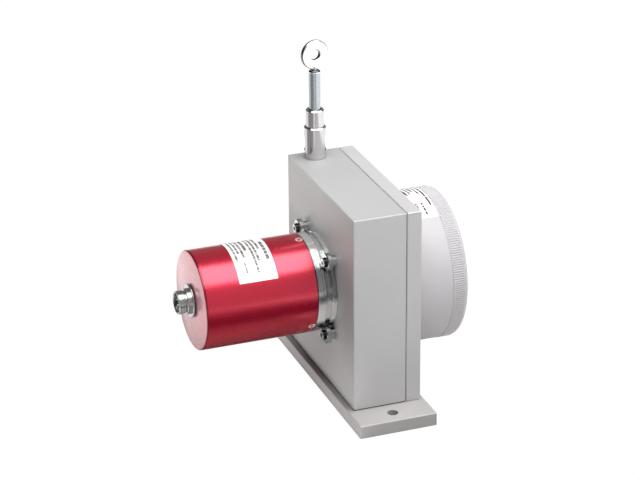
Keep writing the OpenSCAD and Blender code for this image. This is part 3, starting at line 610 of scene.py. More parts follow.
FINISHES = {
    "blasted_aluminium": blasted("blasted_aluminium", *BLOCK_TONES),
    "turned_aluminium": lathed(
        "turned_aluminium", (0.54, 0.55, 0.55), (0.36, 0.37, 0.37), (0.08, 0.16), shaft_centre, **FLANGE_RINGS
    ),
    "red_anodised": lathed(
        "red_anodised", (0.54, 0.001, 0.031), (0.51, 0.001, 0.028), (0.26, 0.28), shaft_centre,
        ring_count=3000.0, bump=0.01, Metallic=0.72, Specular_Tint=(1.0, 0.05, 0.1, 1.0),
        Coat_Weight=1.0, Coat_Roughness=0.22, Coat_IOR=1.57,
    ),
    "cover_plastic": moulded("cover_plastic", (0.44, 0.43, 0.44), (0.40, 0.39, 0.40), (0.5, 0.6)),
    "steel": metal("steel", (0.66, 0.67, 0.68), (0.50, 0.51, 0.52), (0.10, 0.22)),
    "bearing_steel": metal("bearing_steel", (0.70, 0.71, 0.72), (0.58, 0.59, 0.60), (0.10, 0.2)),
    "black_steel": metal("black_steel", (0.05, 0.05, 0.055), (0.03, 0.03, 0.033), (0.32, 0.48)),
    "spring_steel": metal("spring_steel", (0.20, 0.23, 0.28), (0.14, 0.16, 0.20), (0.25, 0.38)),
    "wire_steel": metal("wire_steel", (0.55, 0.57, 0.58), (0.34, 0.35, 0.37), (0.3, 0.45)),
    "zinc_steel": lathed(
        "zinc_steel", (0.50, 0.54, 0.56), (0.38, 0.42, 0.44), (0.14, 0.24), outlet_centre, axis="Z", bump=0.12
    ),
    "bright_steel": metal("bright_steel", (0.92, 0.93, 0.93), (0.86, 0.87, 0.88), (0.22, 0.32), bump=0.05),
    "nickel": lathed("nickel", (0.62, 0.65, 0.64), (0.46, 0.49, 0.48), (0.18, 0.28), shaft_centre, bump=0.1),
    "brass": metal("brass", (0.70, 0.50, 0.20), (0.56, 0.39, 0.15), (0.22, 0.35)),
    "contact_silver": metal("contact_silver", (0.86, 0.85, 0.82), (0.74, 0.73, 0.70), (0.15, 0.28)),
    "rubber": moulded("rubber", (0.022, 0.022, 0.024), (0.014, 0.014, 0.015), (0.6, 0.75)),
    "label_film": moulded("label_film", (0.86, 0.86, 0.86), (0.82, 0.82, 0.82), (0.4, 0.5)),
    "board_green": moulded("board_green", (0.02, 0.13, 0.05), (0.015, 0.09, 0.035), (0.3, 0.45)),
    "black_plastic": moulded("black_plastic", (0.03, 0.03, 0.033), (0.02, 0.02, 0.022), (0.4, 0.55)),
    "disc_glass": moulded("disc_glass", (0.55, 0.62, 0.65), (0.48, 0.55, 0.58), (0.05, 0.12), bump=0.02),
    "ceramic": moulded("ceramic", (0.80, 0.77, 0.72), (0.74, 0.71, 0.66), (0.1, 0.2), bump=0.02),
    "felt": moulded("felt", (0.14, 0.13, 0.11), (0.08, 0.075, 0.065), (0.85, 0.95), bump=0.8),
    "lead_jacket": moulded("lead_jacket", (0.50, 0.47, 0.42), (0.44, 0.41, 0.36), (0.4, 0.5)),
}
# Painted reflections: the flange is painted paler and less metallic from 17.5 mm below to 1.5 mm above the
# shaft's height, and above 17 to 21 mm over it
flange_aluminium = tinted(
    lathed(
        "flange_aluminium", (0.42, 0.43, 0.43), (0.24, 0.25, 0.25), (0.08, 0.16), shaft_centre, **FLANGE_RINGS
    ),
    band(2, shaft_z - 17.5 * MM, shaft_z + 1.5 * MM, soft=4 * MM), (0.60, 0.60, 0.59), 0.4,
)
tinted(flange_aluminium, past(2, shaft_z + 17 * MM, shaft_z + 21 * MM), (0.60, 0.61, 0.60), 0.6)
outlet_aluminium = lathed(
    "outlet_aluminium", (0.64, 0.63, 0.63), (0.50, 0.49, 0.49), (0.12, 0.18), outlet_centre, axis="Z",
    ring_count=3000.0, bump=0.1,
)
encoder_print = printed("encoder_print", ENCODER_ROWS, (0.85, 0.85, 0.84), (0.12, 0.11, 0.11))
cover_print = printed("cover_print", COVER_ROWS, (0.90, 0.90, 0.89), (0.07, 0.05, 0.05))
strands = stranded("strands", outlet_centre)
insert_plastic = moulded("insert_plastic", (0.12, 0.12, 0.12), (0.08, 0.08, 0.08), (0.35, 0.5))

# Painted light and shade in fixed places: the casing's edge, far end, end face and screw rims, and the
# block's joint
RED = FINISHES["red_anodised"]
BLOCK = FINISHES["blasted_aluminium"]
# Painted shade: a dark band along the rim beside the casing's end face
tinted(RED, band(0, end_x + 0.2 * MM, end_x + 0.9 * MM), (0.22, 0.003, 0.012))
# Painted shade: a near-black band where the casing meets the flange
tinted(RED, past(0, casing_x - 0.75 * MM, casing_x - 0.6 * MM), (0.05, 0.004, 0.007))
# Painted reflection: the end face is pale pink and less metallic
tinted(RED, past(0, end_x + 0.25 * MM, end_x + 0.1 * MM), (0.62, 0.31, 0.34), 0.25)
# Painted shade: a near-black line along the foot of the block, in its joint with the base
tinted(BLOCK, band(2, base_top + 0.01 * MM, base_top + 0.7 * MM), (0.04, 0.04, 0.04))
# Painted highlights: pale, less metallic rims round the casing's screw recesses
for clock in CASING_SCREWS_AT:
    turn = math.radians(clock)
    rim = (CASING_SCREW_X, -CASING_R * MM * math.sin(turn), shaft_z + CASING_R * MM * math.cos(turn))
    tinted(RED, away_from(rim, 2.3 * MM, 2.15 * MM), (0.80, 0.42, 0.44), 0.2)
# The casing screws: head tops painted pale with little metal, a painted highlight, and sockets dark reddish,
# painted shade
recess_steel = tinted(
    metal("recess_steel", (0.80, 0.78, 0.78), (0.70, 0.68, 0.68), (0.20, 0.30), metallic=0.4),
    away_from(shaft_centre, 28.7 * MM, 28.5 * MM, (0, 1, 1)), (0.12, 0.04, 0.04),
)
# Painted shade: the clamp bolts are near-black on their head sides and socket bottoms, next to the clamps
bolt_steel = tinted(
    metal("bolt_steel", (0.70, 0.71, 0.72), (0.54, 0.55, 0.56), (0.10, 0.22)),
    past(0, front_x - 7.5 * MM, front_x - 7.3 * MM), (0.04, 0.04, 0.04),
)

# Painted light: the cover is a little paler towards its foot, standing in for light thrown up from the floor
tinted(FINISHES["cover_plastic"], past(2, shaft_z - 2 * MM, shaft_z - 38 * MM), (0.50, 0.48, 0.49))

# Painted light and shade on the block's front: a painted highlight towards the wire's corner, painted shade
# along the edge beside the encoder
front_face = past(0, front_x + 0.4 * MM, front_x + 0.2 * MM)
corner_up = past(2, 0.084, 0.098)
corner_side = past(1, -0.055, 0.0)
edge_side = past(1, -0.020, -0.042)
edge_below = past(2, 0.105, 0.082)
edge_above = past(2, 0.026, 0.056)
tinted(BLOCK, all_of(front_face, corner_up, corner_side), (0.64, 0.63, 0.63))
tinted(BLOCK, all_of(front_face, edge_side, edge_below, edge_above), (0.37, 0.36, 0.36))
# Painted light: the rear plate's top is painted paler than its sides
rear_aluminium = tinted(
    blasted("rear_aluminium", *BLOCK_TONES),
    past(2, top_z - 0.6 * MM, top_z - 0.45 * MM), (0.55, 0.54, 0.54),
)

base_aluminium = blasted("base_aluminium", (0.455, 0.435, 0.435), (0.41, 0.39, 0.39), (0.41, 0.40, 0.40))
# Painted shade: the base's ledge in front of the block, under the encoder, is painted dark
front_ledge = past(0, front_x - 0.02 * MM, front_x - 0.10 * MM)
ledge_top = band(2, base_top - 0.10 * MM, base_top + 0.10 * MM)
ledge_side = past(1, -0.056, -0.046)
tinted(base_aluminium, all_of(front_ledge, ledge_top, ledge_side), (0.26, 0.25, 0.25))

OWN_FINISHES = {
    "base_plate": base_aluminium,
    "rear_plate": rear_aluminium,
    "plate_gasket": moulded("grey_gasket", (0.17, 0.17, 0.17), (0.13, 0.13, 0.13), (0.6, 0.75)),
}
for subpart in frame["record"]["subparts"]:
    shown = frame["nodes"][subpart["node"]]
    shown.data.materials.clear()
    shown.data.materials.append(OWN_FINISHES.get(subpart["node"], FINISHES[subpart["material_slot"]]))

# ---- Encoder: flange, casing and its screws ----

CASING_L = (casing_x - end_x) / MM
CASING_WALL = 2.0
CASING_END = 3.0
CASING_STEPS = 256
BARREL_R = 6.32
RECESS_R = 1.8
RECESS_DEPTH = 1.25

casing = turned(
    [
        (BARREL_R, 0), (CASING_R - 0.75, 0), (CASING_R - 0.6, 0.05), (CASING_R - 0.15, 0.5),
        (CASING_R - 0.15, 0.6), (CASING_R - 0.6, 0.65), (CASING_R - 0.6, 1.1), (CASING_R - 0.05, 1.15),
        (CASING_R, 1.2), (CASING_R, CASING_L - 0.3), (CASING_R - 0.3, CASING_L),
        (CASING_R - CASING_WALL, CASING_L), (CASING_R - CASING_WALL, CASING_END), (BARREL_R, CASING_END),
    ],
    steps=CASING_STEPS,
)
screw_places = [
    outwards(CASING_SCREW_X, clock, (CASING_R - RECESS_DEPTH) * MM) for clock in CASING_SCREWS_AT
]
recesses = joined([moved(prism(RECESS_R, 3.0, sides=32), place) for place in screw_places])
casing = shaped(moved(casing, on_shaft(end_x)), recesses)
piece("casing_tube", casing, RED, "housing", ["encoder_casing"])


def socket_screw(head_d, head_h, socket_r, shank_d, shank_l, chamfer=0.35, dish=0.0):
    """A cap screw with a hexagon socket; its head's underside lies at local zero."""
    r = head_d / 2
    body = turned(
        [
            (0, -shank_l), (shank_d / 2 - 0.3, -shank_l), (shank_d / 2, 0.3 - shank_l), (shank_d / 2, 0),
            (r, 0), (r, head_h - chamfer), (r - chamfer, head_h), (socket_r * 1.25, head_h),
            (0, head_h - dish),
        ],
        steps=48,
    )
    return shaped(body, prism(socket_r, head_h, sides=6, base=head_h * 0.45))


casing_screws = joined(
    [moved(socket_screw(3.3, 1.0, 1.05, 1.9, 3.0, chamfer=0.2, dish=0.05), place) for place in screw_places]
)
piece("casing_screw_heads", casing_screws, recess_steel, "housing", ["casing_screws"])

flange = turned(
    [
        (26.95, -6), (26.95, 0), (28.75, 0), (29, 0.25), (29, 4.75), (28.65, 5.1), (26.5, 5.1), (26.5, 8.5),
        (28.3, 8.5), (28.6, 8.8), (28.6, 11.2), (28.3, 11.5), (24.98, 11.5), (24.98, 14.5), (6.02, 14.5),
        (6.02, 9.5), (9.5, 9.5), (9.5, -18.5), (15, -18.5), (15, 0.6), (23.95, 0.6), (23.95, -6),
    ],
    steps=CASING_STEPS,
)
piece(
    "flange_ring", moved(flange, on_shaft(casing_x)), flange_aluminium, "housing",
    ["encoder_flange"],
)

# ---- Servo clamps ----

CLAMP_R = 33.0
CLAMPS_AT = (-42, 48, 138, 228)
CLAMP_SEAT = 4.85


def clamp_disc():
    """An eccentric clamp's foot and head, with a counterbore for its screw."""
    return turned(
        [
            (1.62, 0.02), (3.5, 0.02), (3.5, 3.05), (5.0, 3.05), (5.3, 3.3), (5.3, 5.55), (4.8, 6.05),
            (3.15, 6.05), (2.95, 5.85), (2.95, CLAMP_SEAT), (1.62, CLAMP_SEAT),
        ],
        steps=64,
    )


clamps = joined([moved(clamp_disc(), beside_shaft(front_x, clock, CLAMP_R * MM, -1)) for clock in CLAMPS_AT])
piece("clamp_discs", clamps, FINISHES["steel"], "housing", ["servo_clamps"])
clamp_bolts = joined(
    [
        moved(
            socket_screw(5.5, 3.0, 1.44, 2.9, 8.0),
            beside_shaft(front_x - CLAMP_SEAT * MM, clock, CLAMP_R * MM, -1),
        )
        for clock in CLAMPS_AT
    ]
)
piece("clamp_bolts", clamp_bolts, bolt_steel, "housing", ["clamp_screws"])

# ---- Connector ----

NICKEL = FINISHES["nickel"]
SLEEVE_R = 6.85
SOCKET_R = 5.5
THREADS = 4
THREAD_START = 0.5
THREAD_PITCH = 0.95
THREAD_DEPTH = 0.28
SEAL_T = 0.8
WASHER_T = 1.0
INSERT_DEPTH = 6.0
PINS = 8
PIN_CIRCLE_R = 4.1
PIN_DEPTH = 1.5

thread_outline = [(SOCKET_R + 0.45, 0), (SLEEVE_R - 0.45, 0), (SLEEVE_R - 0.25, 0.15)]
for thread in range(THREADS):
    start = THREAD_START + thread * THREAD_PITCH
    thread_outline += [
        (SLEEVE_R - THREAD_DEPTH, start), (SLEEVE_R, start + 0.28), (SLEEVE_R, start + 0.62),
        (SLEEVE_R - THREAD_DEPTH, start + 0.9),
    ]
connector = turned(
    thread_outline
    + [
        (SLEEVE_R - 0.6, 4.5), (SLEEVE_R - 0.6, 5.0), (7.2, 5.0), (7.5, 5.3), (7.5, 7.3), (6.3, 7.3),
        (6.3, 16.1), (SOCKET_R, 16.1), (SOCKET_R, 0.45),
    ],
)
piece("connector_body", moved(connector, on_shaft(tip_x)), NICKEL, "housing", ["connector_shell"])
washer = turned(
    [(BARREL_R, 0), (9.6, 0), (10, 0.3), (10, 0.75), (9.75, WASHER_T), (BARREL_R, WASHER_T)],
)
washer = moved(washer, on_shaft(end_x - (SEAL_T + WASHER_T) * MM))
piece("connector_disc", washer, NICKEL, "housing", ["connector_washer"])
seal = turned([(BARREL_R, 0), (9.2, 0), (9.2, SEAL_T), (BARREL_R, SEAL_T)], steps=96)
seal = moved(soften(seal, 0.3, segments=3), on_shaft(end_x - SEAL_T * MM))
piece("connector_ring", seal, FINISHES["rubber"], "housing", ["connector_seal"])
insert = turned(
    [(0, 0), (1.1, 0), (1.3, 0.25), (2.6, 0.25), (2.8, 0), (5.2, 0), (5.48, 0.25), (5.48, 7), (0, 7)],
    steps=96,
)
insert = moved(insert, on_shaft(tip_x + INSERT_DEPTH * MM))
piece("connector_core", insert, insert_plastic, "housing", ["connector_insert"])
pins = joined(
    [
        moved(
            turned([(0, 0), (0.3, 0.08), (0.45, 0.4), (0.45, 14), (0, 14)], steps=20),
            beside_shaft(tip_x + PIN_DEPTH * MM, 360 / PINS * pin, PIN_CIRCLE_R * MM, 1),
        )
        for pin in range(PINS)
    ]
)
piece("connector_contacts", pins, FINISHES["contact_silver"], "housing", ["connector_pins"])

# ---- Labels ----


def wrapped(radius, width, sweep, thick=0.15, corner=0.9):
    """A thin film round local Z from clock zero, with rounded corners."""
    bm = bmesh.new()
    loop = [
        bm.verts.new((r * MM, 0, h * MM))
        for r, h in ((radius, 0), (radius + thick, 0), (radius + thick, width), (radius, width))
    ]
    edges = [bm.edges.new(pair) for pair in zip(loop, loop[1:] + loop[:1])]
    bmesh.ops.spin(
        bm, geom=loop + edges, cent=(0, 0, 0), axis=(0, 0, 1), angle=math.radians(sweep), steps=int(sweep),
        use_merge=False,
    )
    bmesh.ops.holes_fill(bm, edges=[e for e in bm.edges if e.is_boundary], sides=4)
    clean(bm)
    ends = (0.0, math.radians(sweep))
    corners = []
    for edge in bm.edges:
        a, b = (v.co for v in edge.verts)
        reach = abs(math.hypot(a.x, a.y) - math.hypot(b.x, b.y))
        radial = abs(a.z - b.z) < 1e-7 and reach > thick * MM / 2
        if radial and min(abs(math.atan2(a.y, a.x) - end) for end in ends) < 1e-4:
            corners.append(edge)
    bmesh.ops.bevel(
        bm, geom=corners, offset=corner * MM, offset_type="OFFSET", segments=4, profile=0.5, affect="EDGES",
        clamp_overlap=True, material=-1,
    )
    return clean(bm)


# Each film has its inner radius, its width and its sweep in degrees, and the clock angle it starts from
ENCODER_FILM_X = -0.077
ENCODER_FILM = (29.02, 23.0, 80)
ENCODER_FILM_FROM = -25
COVER_FILM_X = back_x + 1.5 * MM
COVER_FILM = (44.52, 22.4, 64)
COVER_FILM_FROM = -34
encoder_film = moved(wrapped(*ENCODER_FILM), on_shaft(ENCODER_FILM_X, ENCODER_FILM_FROM))
piece("encoder_film", encoder_film, encoder_print, "housing", ["encoder_label"])
cover_film = moved(wrapped(*COVER_FILM), on_shaft(COVER_FILM_X, COVER_FILM_FROM))
piece("cover_film", cover_film, cover_print, "housing", ["cover_label"])

# ---- Spring cover ----

COVER_R = 44.75
COVER_DEPTH = (cover_x - back_x) / MM
COVER_EDGE = 2.0
RIB_BAND = 7.4
RIB_H = 0.35
RIBS = 204
COVER_INNER_R = 42.0
COVER_END = 2.5
PILLAR_R = 38.0
PILLARS_AT = (30, 150, 270)

band_from = COVER_DEPTH - COVER_EDGE - RIB_BAND
arc_r = COVER_R - RIB_H - COVER_EDGE
arc_h = COVER_DEPTH - COVER_EDGE
ROUND_STEPS = 10
round_off = [
    (
        arc_r + COVER_EDGE * math.cos(math.radians(90 * i / ROUND_STEPS)),
        arc_h + COVER_EDGE * math.sin(math.radians(90 * i / ROUND_STEPS)),
    )
    for i in range(ROUND_STEPS + 1)
]
cover = turned(
    [
        (0, COVER_DEPTH - COVER_END), (COVER_INNER_R - 1, COVER_DEPTH - COVER_END),
        (COVER_INNER_R, COVER_DEPTH - COVER_END - 1), (COVER_INNER_R, 0), (COVER_R - 0.5, 0),
        (COVER_R - 0.25, 0.25), (COVER_R - 0.25, band_from - 0.05), (COVER_R, band_from + 0.05),
        (COVER_R, band_from + 0.35), (COVER_R, band_from + 0.8), (COVER_R, arc_h - 0.4),
    ]
    + round_off
    + [(0, COVER_DEPTH)],
    steps=4 * RIBS,
)
for vert in cover.verts:
    height = vert.co.z / MM
    radius = math.hypot(vert.co.x, vert.co.y)
    on_rib = band_from + 0.6 < height < arc_h - 0.1 and radius > (COVER_R - 0.1) * MM
    step = round(math.atan2(vert.co.y, vert.co.x) / (2 * math.pi) * 4 * RIBS) % 4
    if on_rib and step > 1:
        shrink = 1 - RIB_H * MM / radius
        vert.co.x *= shrink
        vert.co.y *= shrink


def screw_seat():
    """The passage and countersink for a cover screw; local Z points out of the cover, from its face."""
    return turned([(0, -4), (1.65, -4), (1.65, -1.6), (3.35, 0.1), (3.35, 1), (0, 1)], steps=48)


seats = joined([moved(screw_seat(), beside_shaft(cover_x, clock, PILLAR_R * MM, 1)) for clock in PILLARS_AT])
cover = shaped(moved(cover, on_shaft(back_x)), seats)
piece(
    "cover_shell", cover, FINISHES["cover_plastic"], "housing", ["spring_cover"], smooth=28
)


def countersunk_screw():
    """A countersunk screw; its flat head lies at local zero and it points down."""
    body = turned(
        [(0, -9), (1.2, -9), (1.48, -8.7), (1.48, -1.5), (2.95, -0.12), (2.95, 0), (0, 0)], steps=48
    )
    return shaped(body, prism(1.05, 1.5, sides=6, base=-1.0))


HEAD_SINK = 0.05
cover_bolts = joined(
    [
        moved(countersunk_screw(), beside_shaft(cover_x - HEAD_SINK * MM, clock, PILLAR_R * MM, 1))
        for clock in PILLARS_AT
    ]
)
piece("cover_bolts", cover_bolts, FINISHES["steel"], "housing", ["cover_screws"])

# ---- Screws in the rear plate and the base plate ----

PLATE_INSET = 7.5
PLATE_SEAT = 4.3
BASE_SEAT = 5.3
BASE_HEAD_R = 4.25

screw_y = (housing_high[1] - housing_low[1]) / 2 - PLATE_INSET * MM
plate_bolts = []
for side in (-1, 1):
    for height in (base_top + PLATE_INSET * MM, top_z - PLATE_INSET * MM):
        screw = socket_screw(7.0, 4.0, 1.88, 3.9, 12.0, chamfer=0.5)
        seat = Matrix.Translation((back_x - PLATE_SEAT * MM, side * screw_y, height))
        plate_bolts.append(moved(screw, seat @ Matrix.Rotation(math.pi / 2, 4, "Y")))
BLACK = FINISHES["black_steel"]
piece("plate_bolts", joined(plate_bolts), BLACK, "housing", ["plate_screws"])

screw_low, screw_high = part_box("base_screws")
base_screw_x = (screw_low[0] + screw_high[0]) / 2
base_screw_y = screw_high[1] - BASE_HEAD_R * MM
base_bolts = []
for side in (-1, 1):
    screw = socket_screw(2 * BASE_HEAD_R, 5.0, 2.35, 4.9, 13.0, chamfer=0.6)
    seat = Matrix.Translation((base_screw_x, side * base_screw_y, BASE_SEAT * MM))
    base_bolts.append(moved(screw, seat @ Matrix.Rotation(math.pi, 4, "X")))
piece("base_bolts", joined(base_bolts), BLACK, "housing", ["base_screws"])

# ---- Wire outlet ----

OUTLET_R = 6.5
OUTLET_H = (outlet_high[2] - top_z) / MM
WAIST_Z = 4.8
WAIST_H = 8.6
WAIST_HALF = 5.85
WAIST_TURN = -20.0
SET_SCREW_H = 2.8
FLAT_CUT = (4.0, 20.0)

outlet = turned(
    [
        (2.5, -10), (3.98, -10), (3.98, 0), (OUTLET_R - 0.25, 0), (OUTLET_R, 0.25),
        (OUTLET_R, OUTLET_H - 0.6), (OUTLET_R - 0.6, OUTLET_H), (4.0, OUTLET_H), (4.0, OUTLET_H - 7.7),
        (2.5, OUTLET_H - 7.7),
    ],
)
flats = []
for side in (-1, 1):
    block = bmesh.new()
    bmesh.ops.create_cube(block, size=1.0)
    bmesh.ops.scale(block, vec=(FLAT_CUT[0] * MM, FLAT_CUT[1] * MM, WAIST_H * MM), verts=block.verts)
    beside = side * (WAIST_HALF + FLAT_CUT[0] / 2) * MM
    bmesh.ops.translate(block, vec=(beside, 0, (WAIST_Z + WAIST_H / 2) * MM), verts=block.verts)
    flats.append(moved(block, Matrix.Rotation(math.radians(WAIST_TURN), 4, "Z")))
screw_hole = moved(
    prism(1.5, 5.0, sides=32),
    Matrix.Translation((0, 2.6 * MM, SET_SCREW_H * MM)) @ Matrix.Rotation(-math.pi / 2, 4, "X"),
)
outlet = shaped(outlet, joined(flats + [screw_hole]))
outlet = moved(outlet, at_outlet())
piece("outlet_barrel", outlet, outlet_aluminium, "housing", ["outlet_body"])

bush = turned(
    [
        (0.8, -7.5), (3.7, -7.5), (3.98, -7.2), (3.98, 0), (5.15, 0), (5.4, 0.25), (5.4, 9.9), (4.8, 10.5),
        (4.05, 10.5), (3.7, 10.2), (3.7, 4.5), (0.8, 4.5),
    ],
)
bush = moved(bush, at_outlet(OUTLET_H * MM))
piece("outlet_sleeve", bush, outlet_aluminium, "housing", ["outlet_bush"])

# ---- Rod, eye and wire ----

ROD_R = 3.4
rod_z = (rod_low[2] - top_z) / MM
rod_top = (rod_high[2] - top_z) / MM
rod = turned(
    [
        (1.52, rod_z), (ROD_R - 0.4, rod_z), (ROD_R, rod_z + 0.4), (ROD_R, rod_top - 0.7),
        (ROD_R - 0.7, rod_top), (1.75, rod_top), (1.75, rod_top - 11), (1.52, rod_top - 11),
    ],
    steps=96,
)
rod_zinc = lathed(
    "rod_zinc", (0.50, 0.54, 0.56), (0.42, 0.46, 0.48), (0.26, 0.34), outlet_centre, axis="Z", bump=0.04
)
# Painted shade: a dark band on the rod's top chamfer under the eye, and a painted highlight in a pale band
# just below it
tinted(rod_zinc, band(2, rod_high[2] - 0.72 * MM, rod_high[2] - 0.02 * MM), (0.03, 0.03, 0.03))
tinted(rod_zinc, band(2, rod_high[2] - 1.30 * MM, rod_high[2] - 0.72 * MM), (0.92, 0.93, 0.94))
piece("rod_barrel", moved(rod, at_outlet()), rod_zinc, "wire_end", ["end_rod"])

EYE_R = 8.7
EYE_HOLE_R = 3.2
EYE_HALF = 1.3
EYE_TURN = 10.0
EYE_ROUND = 0.7
eye_z = (eye_high[2] - top_z) / MM - EYE_R
eye_steps = [0, 22.5, 45, 67.5, 90]
rim = [
    (
        EYE_R - EYE_ROUND + EYE_ROUND * math.cos(math.radians(a)),
        EYE_HALF - EYE_ROUND + EYE_ROUND * math.sin(math.radians(a)),
    )
    for a in eye_steps
]
eye_outline = (
    [
        (EYE_HOLE_R + 0.3, EYE_HALF), (EYE_HOLE_R, EYE_HALF - 0.3), (EYE_HOLE_R, 0.3 - EYE_HALF),
        (EYE_HOLE_R + 0.3, -EYE_HALF),
    ]
    + [(r, -h) for r, h in reversed(rim)]
    + rim
)
turn_eye = Matrix.Rotation(math.radians(EYE_TURN), 4, "Z")
raise_eye = Matrix.Rotation(math.pi / 2, 4, "X")
stand = Matrix.Translation((0, 0, eye_z * MM)) @ turn_eye @ raise_eye
eye = moved(turned(eye_outline, steps=96), stand)
shank_bottom = (eye_low[2] - top_z) / MM
shank = turned(
    [
        (0, shank_bottom), (1.4, shank_bottom), (1.7, shank_bottom + 0.3), (1.7, eye_z - EYE_R + 0.3),
        (2.1, eye_z - EYE_R + 1.0), (2.1, eye_z - EYE_R + 2.2), (0, eye_z - EYE_R + 3.4),
    ],
    steps=48,
)
eye = shaped(eye, shank, "UNION")
eye_centre = (outlet_x, outlet_y, eye_high[2] - EYE_R * MM)
eye_steel = metal("eye_steel", (0.92, 0.93, 0.93), (0.86, 0.87, 0.88), (0.22, 0.32), bump=0.05)
# Painted shade: the eye's outer rim is darker except near its top, and its hole is painted dark
eye_rim = away_from(eye_centre, 8.2 * MM, 8.5 * MM)
rim_side = past(2, eye_centre[2] + 8.4 * MM, eye_centre[2] + 4.5 * MM)
tinted(eye_steel, all_of(eye_rim, rim_side), (0.24, 0.24, 0.25))
tinted(eye_steel, away_from(eye_centre, 3.6 * MM, 3.4 * MM), (0.10, 0.10, 0.11))
piece("eye_loop", moved(eye, at_outlet()), eye_steel, "eye", ["eye_ring"])

WIRE_R = 0.5
WIRE_RINGS = 96
wire_foot = (wire_low[2] - top_z) / MM
wire_head = rod_z + 0.6
wire = turned(
    [(0, wire_foot)]
    + [(WIRE_R, wire_foot + (wire_head - wire_foot) * i / WIRE_RINGS) for i in range(WIRE_RINGS + 1)]
    + [(0, wire_head)],
    steps=16,
)
strand = piece(
    "wire_strand", moved(wire, at_outlet()), strands, None, ["wire_lead"], smooth=60
)
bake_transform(strand)

# ---- Floor, light and camera ----

FLOOR_HALF = 40.0
FLOOR_DROP = 0.2 * MM
FLOOR_GLOW = 1.02
ground = bmesh.new()
bmesh.ops.create_grid(ground, x_segments=8, y_segments=8, size=FLOOR_HALF)
bmesh.ops.translate(ground, vec=(0, 0, base_low[2] - FLOOR_DROP), verts=ground.verts)
floor_mesh = bpy.data.meshes.new("floor")
ground.to_mesh(floor_mesh)
ground.free()
floor_paint, floor_tree, floor_shader = blank(
    "floor_paint", Roughness=1.0, Specular_IOR_Level=0.0, Emission_Strength=FLOOR_GLOW,
    Base_Color=(0, 0, 0, 1),
)
floor_shader.inputs["Emission Color"].default_value = (1, 1, 1, 1)
# Painted reflections: reflections see a painted soft shadow in front of the object, a pale sweep beside and
# behind it and a painted dark card
floor_spot = put(floor_tree, "ShaderNodeTexCoord").outputs["Object"]
floor_at = put(floor_tree, "ShaderNodeSeparateXYZ", {0: floor_spot})
SWEEP_SPAN = 0.6
SWEEP_STOPS = [
    (-0.6, 0.42), (-0.35, 0.30), (-0.22, 0.10), (-0.145, 0.005), (-0.095, 0.005), (-0.075, 0.16),
    (-0.04, 0.26), (0.05, 0.36), (0.2, 0.95),
]
depth_ramp = put(
    floor_tree, "ShaderNodeValToRGB", {0: ramp(floor_tree, floor_at.outputs[1], -SWEEP_SPAN, SWEEP_SPAN)}
)
while len(depth_ramp.color_ramp.elements) < len(SWEEP_STOPS):
    depth_ramp.color_ramp.elements.new(0.5)
for stop, (distance, shade) in zip(depth_ramp.color_ramp.elements, SWEEP_STOPS):
    stop.position = (distance + SWEEP_SPAN) / (2 * SWEEP_SPAN)
    stop.color = (shade, shade, shade, 1)
PALE = (0.95, 0.95, 0.95)
left_side = ramp(floor_tree, floor_at.outputs[0], -0.10, -0.22)
right_side = ramp(floor_tree, floor_at.outputs[0], 0.04, 0.12, 0.0, 0.9)
open_floor = blend_colours(
    floor_tree, calc(floor_tree, "MAXIMUM", left_side, right_side), depth_ramp.outputs[0], PALE
)
CARD_FACING = (-0.956, -0.292, 0.0)
CARD_GREY = (0.27, 0.27, 0.27)
card_way = put(
    floor_tree, "ShaderNodeVectorMath", {0: floor_spot, 1: (outlet_x, outlet_y, 0.0)}, operation="SUBTRACT"
).outputs[0]
card_far = put(floor_tree, "ShaderNodeVectorMath", {0: card_way}, operation="LENGTH").outputs["Value"]
card_turn = put(
    floor_tree, "ShaderNodeVectorMath",
    {
        0: put(floor_tree, "ShaderNodeVectorMath", {0: card_way}, operation="NORMALIZE").outputs[0],
        1: CARD_FACING,
    },
    operation="DOT_PRODUCT",
).outputs["Value"]
on_card = calc(
    floor_tree, "MULTIPLY", ramp(floor_tree, card_turn, 0.74, 0.84), ramp(floor_tree, card_far, 0.20, 0.26)
)
mirrored = blend_colours(floor_tree, on_card, open_floor, CARD_GREY)
# Soft light that bounces off the floor is weaker in front than at the left
bounce = calc(
    floor_tree, "MAXIMUM", ramp(floor_tree, floor_at.outputs[0], -0.01, -0.06, 0.44, 0.95),
    ramp(floor_tree, floor_at.outputs[0], 0.04, 0.14, 0.44, 0.80),
)
paths = put(floor_tree, "ShaderNodeLightPath")
sweep = blend_colours(floor_tree, paths.outputs["Is Glossy Ray"], bounce, mirrored)
table_look = put(floor_tree, "ShaderNodeBsdfDiffuse", {"Color": sweep})
# The table glows a little beside the base's left edge, where the object's own shadow would lie
beside_base = calc(
    floor_tree, "MULTIPLY", ramp(floor_tree, floor_at.outputs[0], -0.02, -0.03, 0.0, 2.6),
    ramp(floor_tree, floor_at.outputs[0], -0.06, -0.038),
)
glow = calc(
    floor_tree, "MULTIPLY", beside_base, calc(floor_tree, "SUBTRACT", 1.0, paths.outputs["Is Glossy Ray"])
)
table_glow = put(floor_tree, "ShaderNodeEmission", {"Strength": glow})
table_sum = put(floor_tree, "ShaderNodeAddShader", {0: table_look.outputs[0], 1: table_glow.outputs[0]})
floor_mix = put(
    floor_tree, "ShaderNodeMixShader",
    {0: paths.outputs["Is Camera Ray"], 1: table_sum.outputs[0], 2: floor_shader.outputs[0]},
)
floor_tree.links.new(floor_mix.outputs[0], floor_tree.nodes["Material Output"].inputs["Surface"])
floor_mesh.materials.append(floor_paint)
floor = bpy.data.objects.new("floor", floor_mesh)
scene.collection.objects.link(floor)

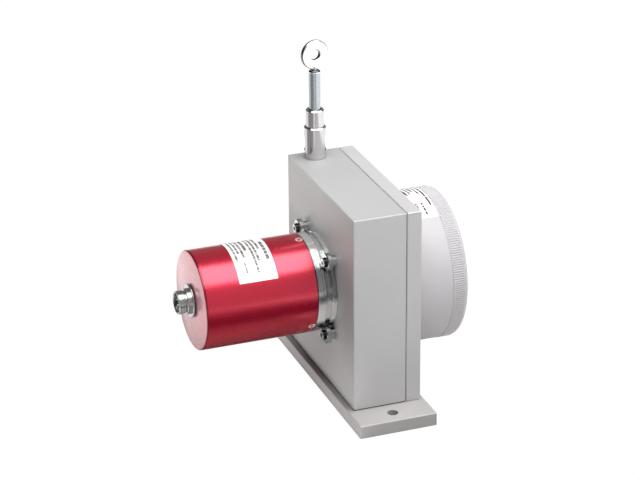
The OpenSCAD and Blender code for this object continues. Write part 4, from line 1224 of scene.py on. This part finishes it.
world = bpy.data.worlds.new("studio")
scene.world = world
world.use_nodes = True
sky_way = put(world.node_tree, "ShaderNodeTexCoord").outputs["Generated"]
sky = put(world.node_tree, "ShaderNodeSeparateXYZ", {0: sky_way})
FRONT_AIR = (0.66, 0.66, 0.66)
BACK_AIR = (0.28, 0.28, 0.28)
LEFT_AIR = (0.08, 0.08, 0.08)
to_back = ramp(world.node_tree, sky.outputs[1], -0.6, 0.5)
to_left = ramp(world.node_tree, sky.outputs[0], -0.15, -0.7)
open_air = blend_colours(world.node_tree, to_back, FRONT_AIR, BACK_AIR)
air = blend_colours(world.node_tree, to_left, open_air, LEFT_AIR)
world.node_tree.links.new(air, world.node_tree.nodes["Background"].inputs["Color"])


def softbox(name, place, aim, size, radiance):
    """A rectangular area light that faces a point, with the same brightness whatever its size."""
    lamp = bpy.data.lights.new(name, "AREA")
    lamp.shape = "RECTANGLE"
    lamp.size, lamp.size_y = size
    lamp.energy = radiance * math.pi * size[0] * size[1]
    obj = bpy.data.objects.new(name, lamp)
    obj.location = place
    obj.rotation_euler = (Vector(aim) - Vector(place)).to_track_quat("-Z", "Y").to_euler()
    scene.collection.objects.link(obj)
    return obj


OVERHEAD_AT = (0.35, -0.375, 1.30)
OVERHEAD_AIM = (0.35, -0.3751, 0.0)
OVERHEAD_SIZE = (2.0, 1.15)
OVERHEAD_RADIANCE = 5.0
softbox("overhead", OVERHEAD_AT, OVERHEAD_AIM, OVERHEAD_SIZE, OVERHEAD_RADIANCE)

CAMERA_AT = (-0.4577, -1.1825, 0.6513)
AZIMUTH = math.radians(20.312)
ELEVATION = math.radians(23.885)
ROLL = math.radians(-0.472)
FOCAL_LENGTH = 134.68
SENSOR_WIDTH = 36.0
VIEW_DEPTH = 20.0
forward = Vector(
    (math.sin(AZIMUTH) * math.cos(ELEVATION), math.cos(AZIMUTH) * math.cos(ELEVATION), -math.sin(ELEVATION))
)
level = Vector((math.cos(AZIMUTH), -math.sin(AZIMUTH), 0))
upright = level.cross(forward)
side_axis = level * math.cos(ROLL) + upright * math.sin(ROLL)
top_axis = upright * math.cos(ROLL) - level * math.sin(ROLL)
lens = bpy.data.cameras.new("camera")
lens.lens = FOCAL_LENGTH
lens.sensor_width = SENSOR_WIDTH
lens.clip_end = VIEW_DEPTH
camera = bpy.data.objects.new("camera", lens)
turn = Matrix((side_axis, top_axis, -forward)).transposed().to_4x4()
camera.matrix_world = Matrix.Translation(CAMERA_AT) @ turn
scene.collection.objects.link(camera)
scene.camera = camera
scene.view_settings.view_transform = "Standard"
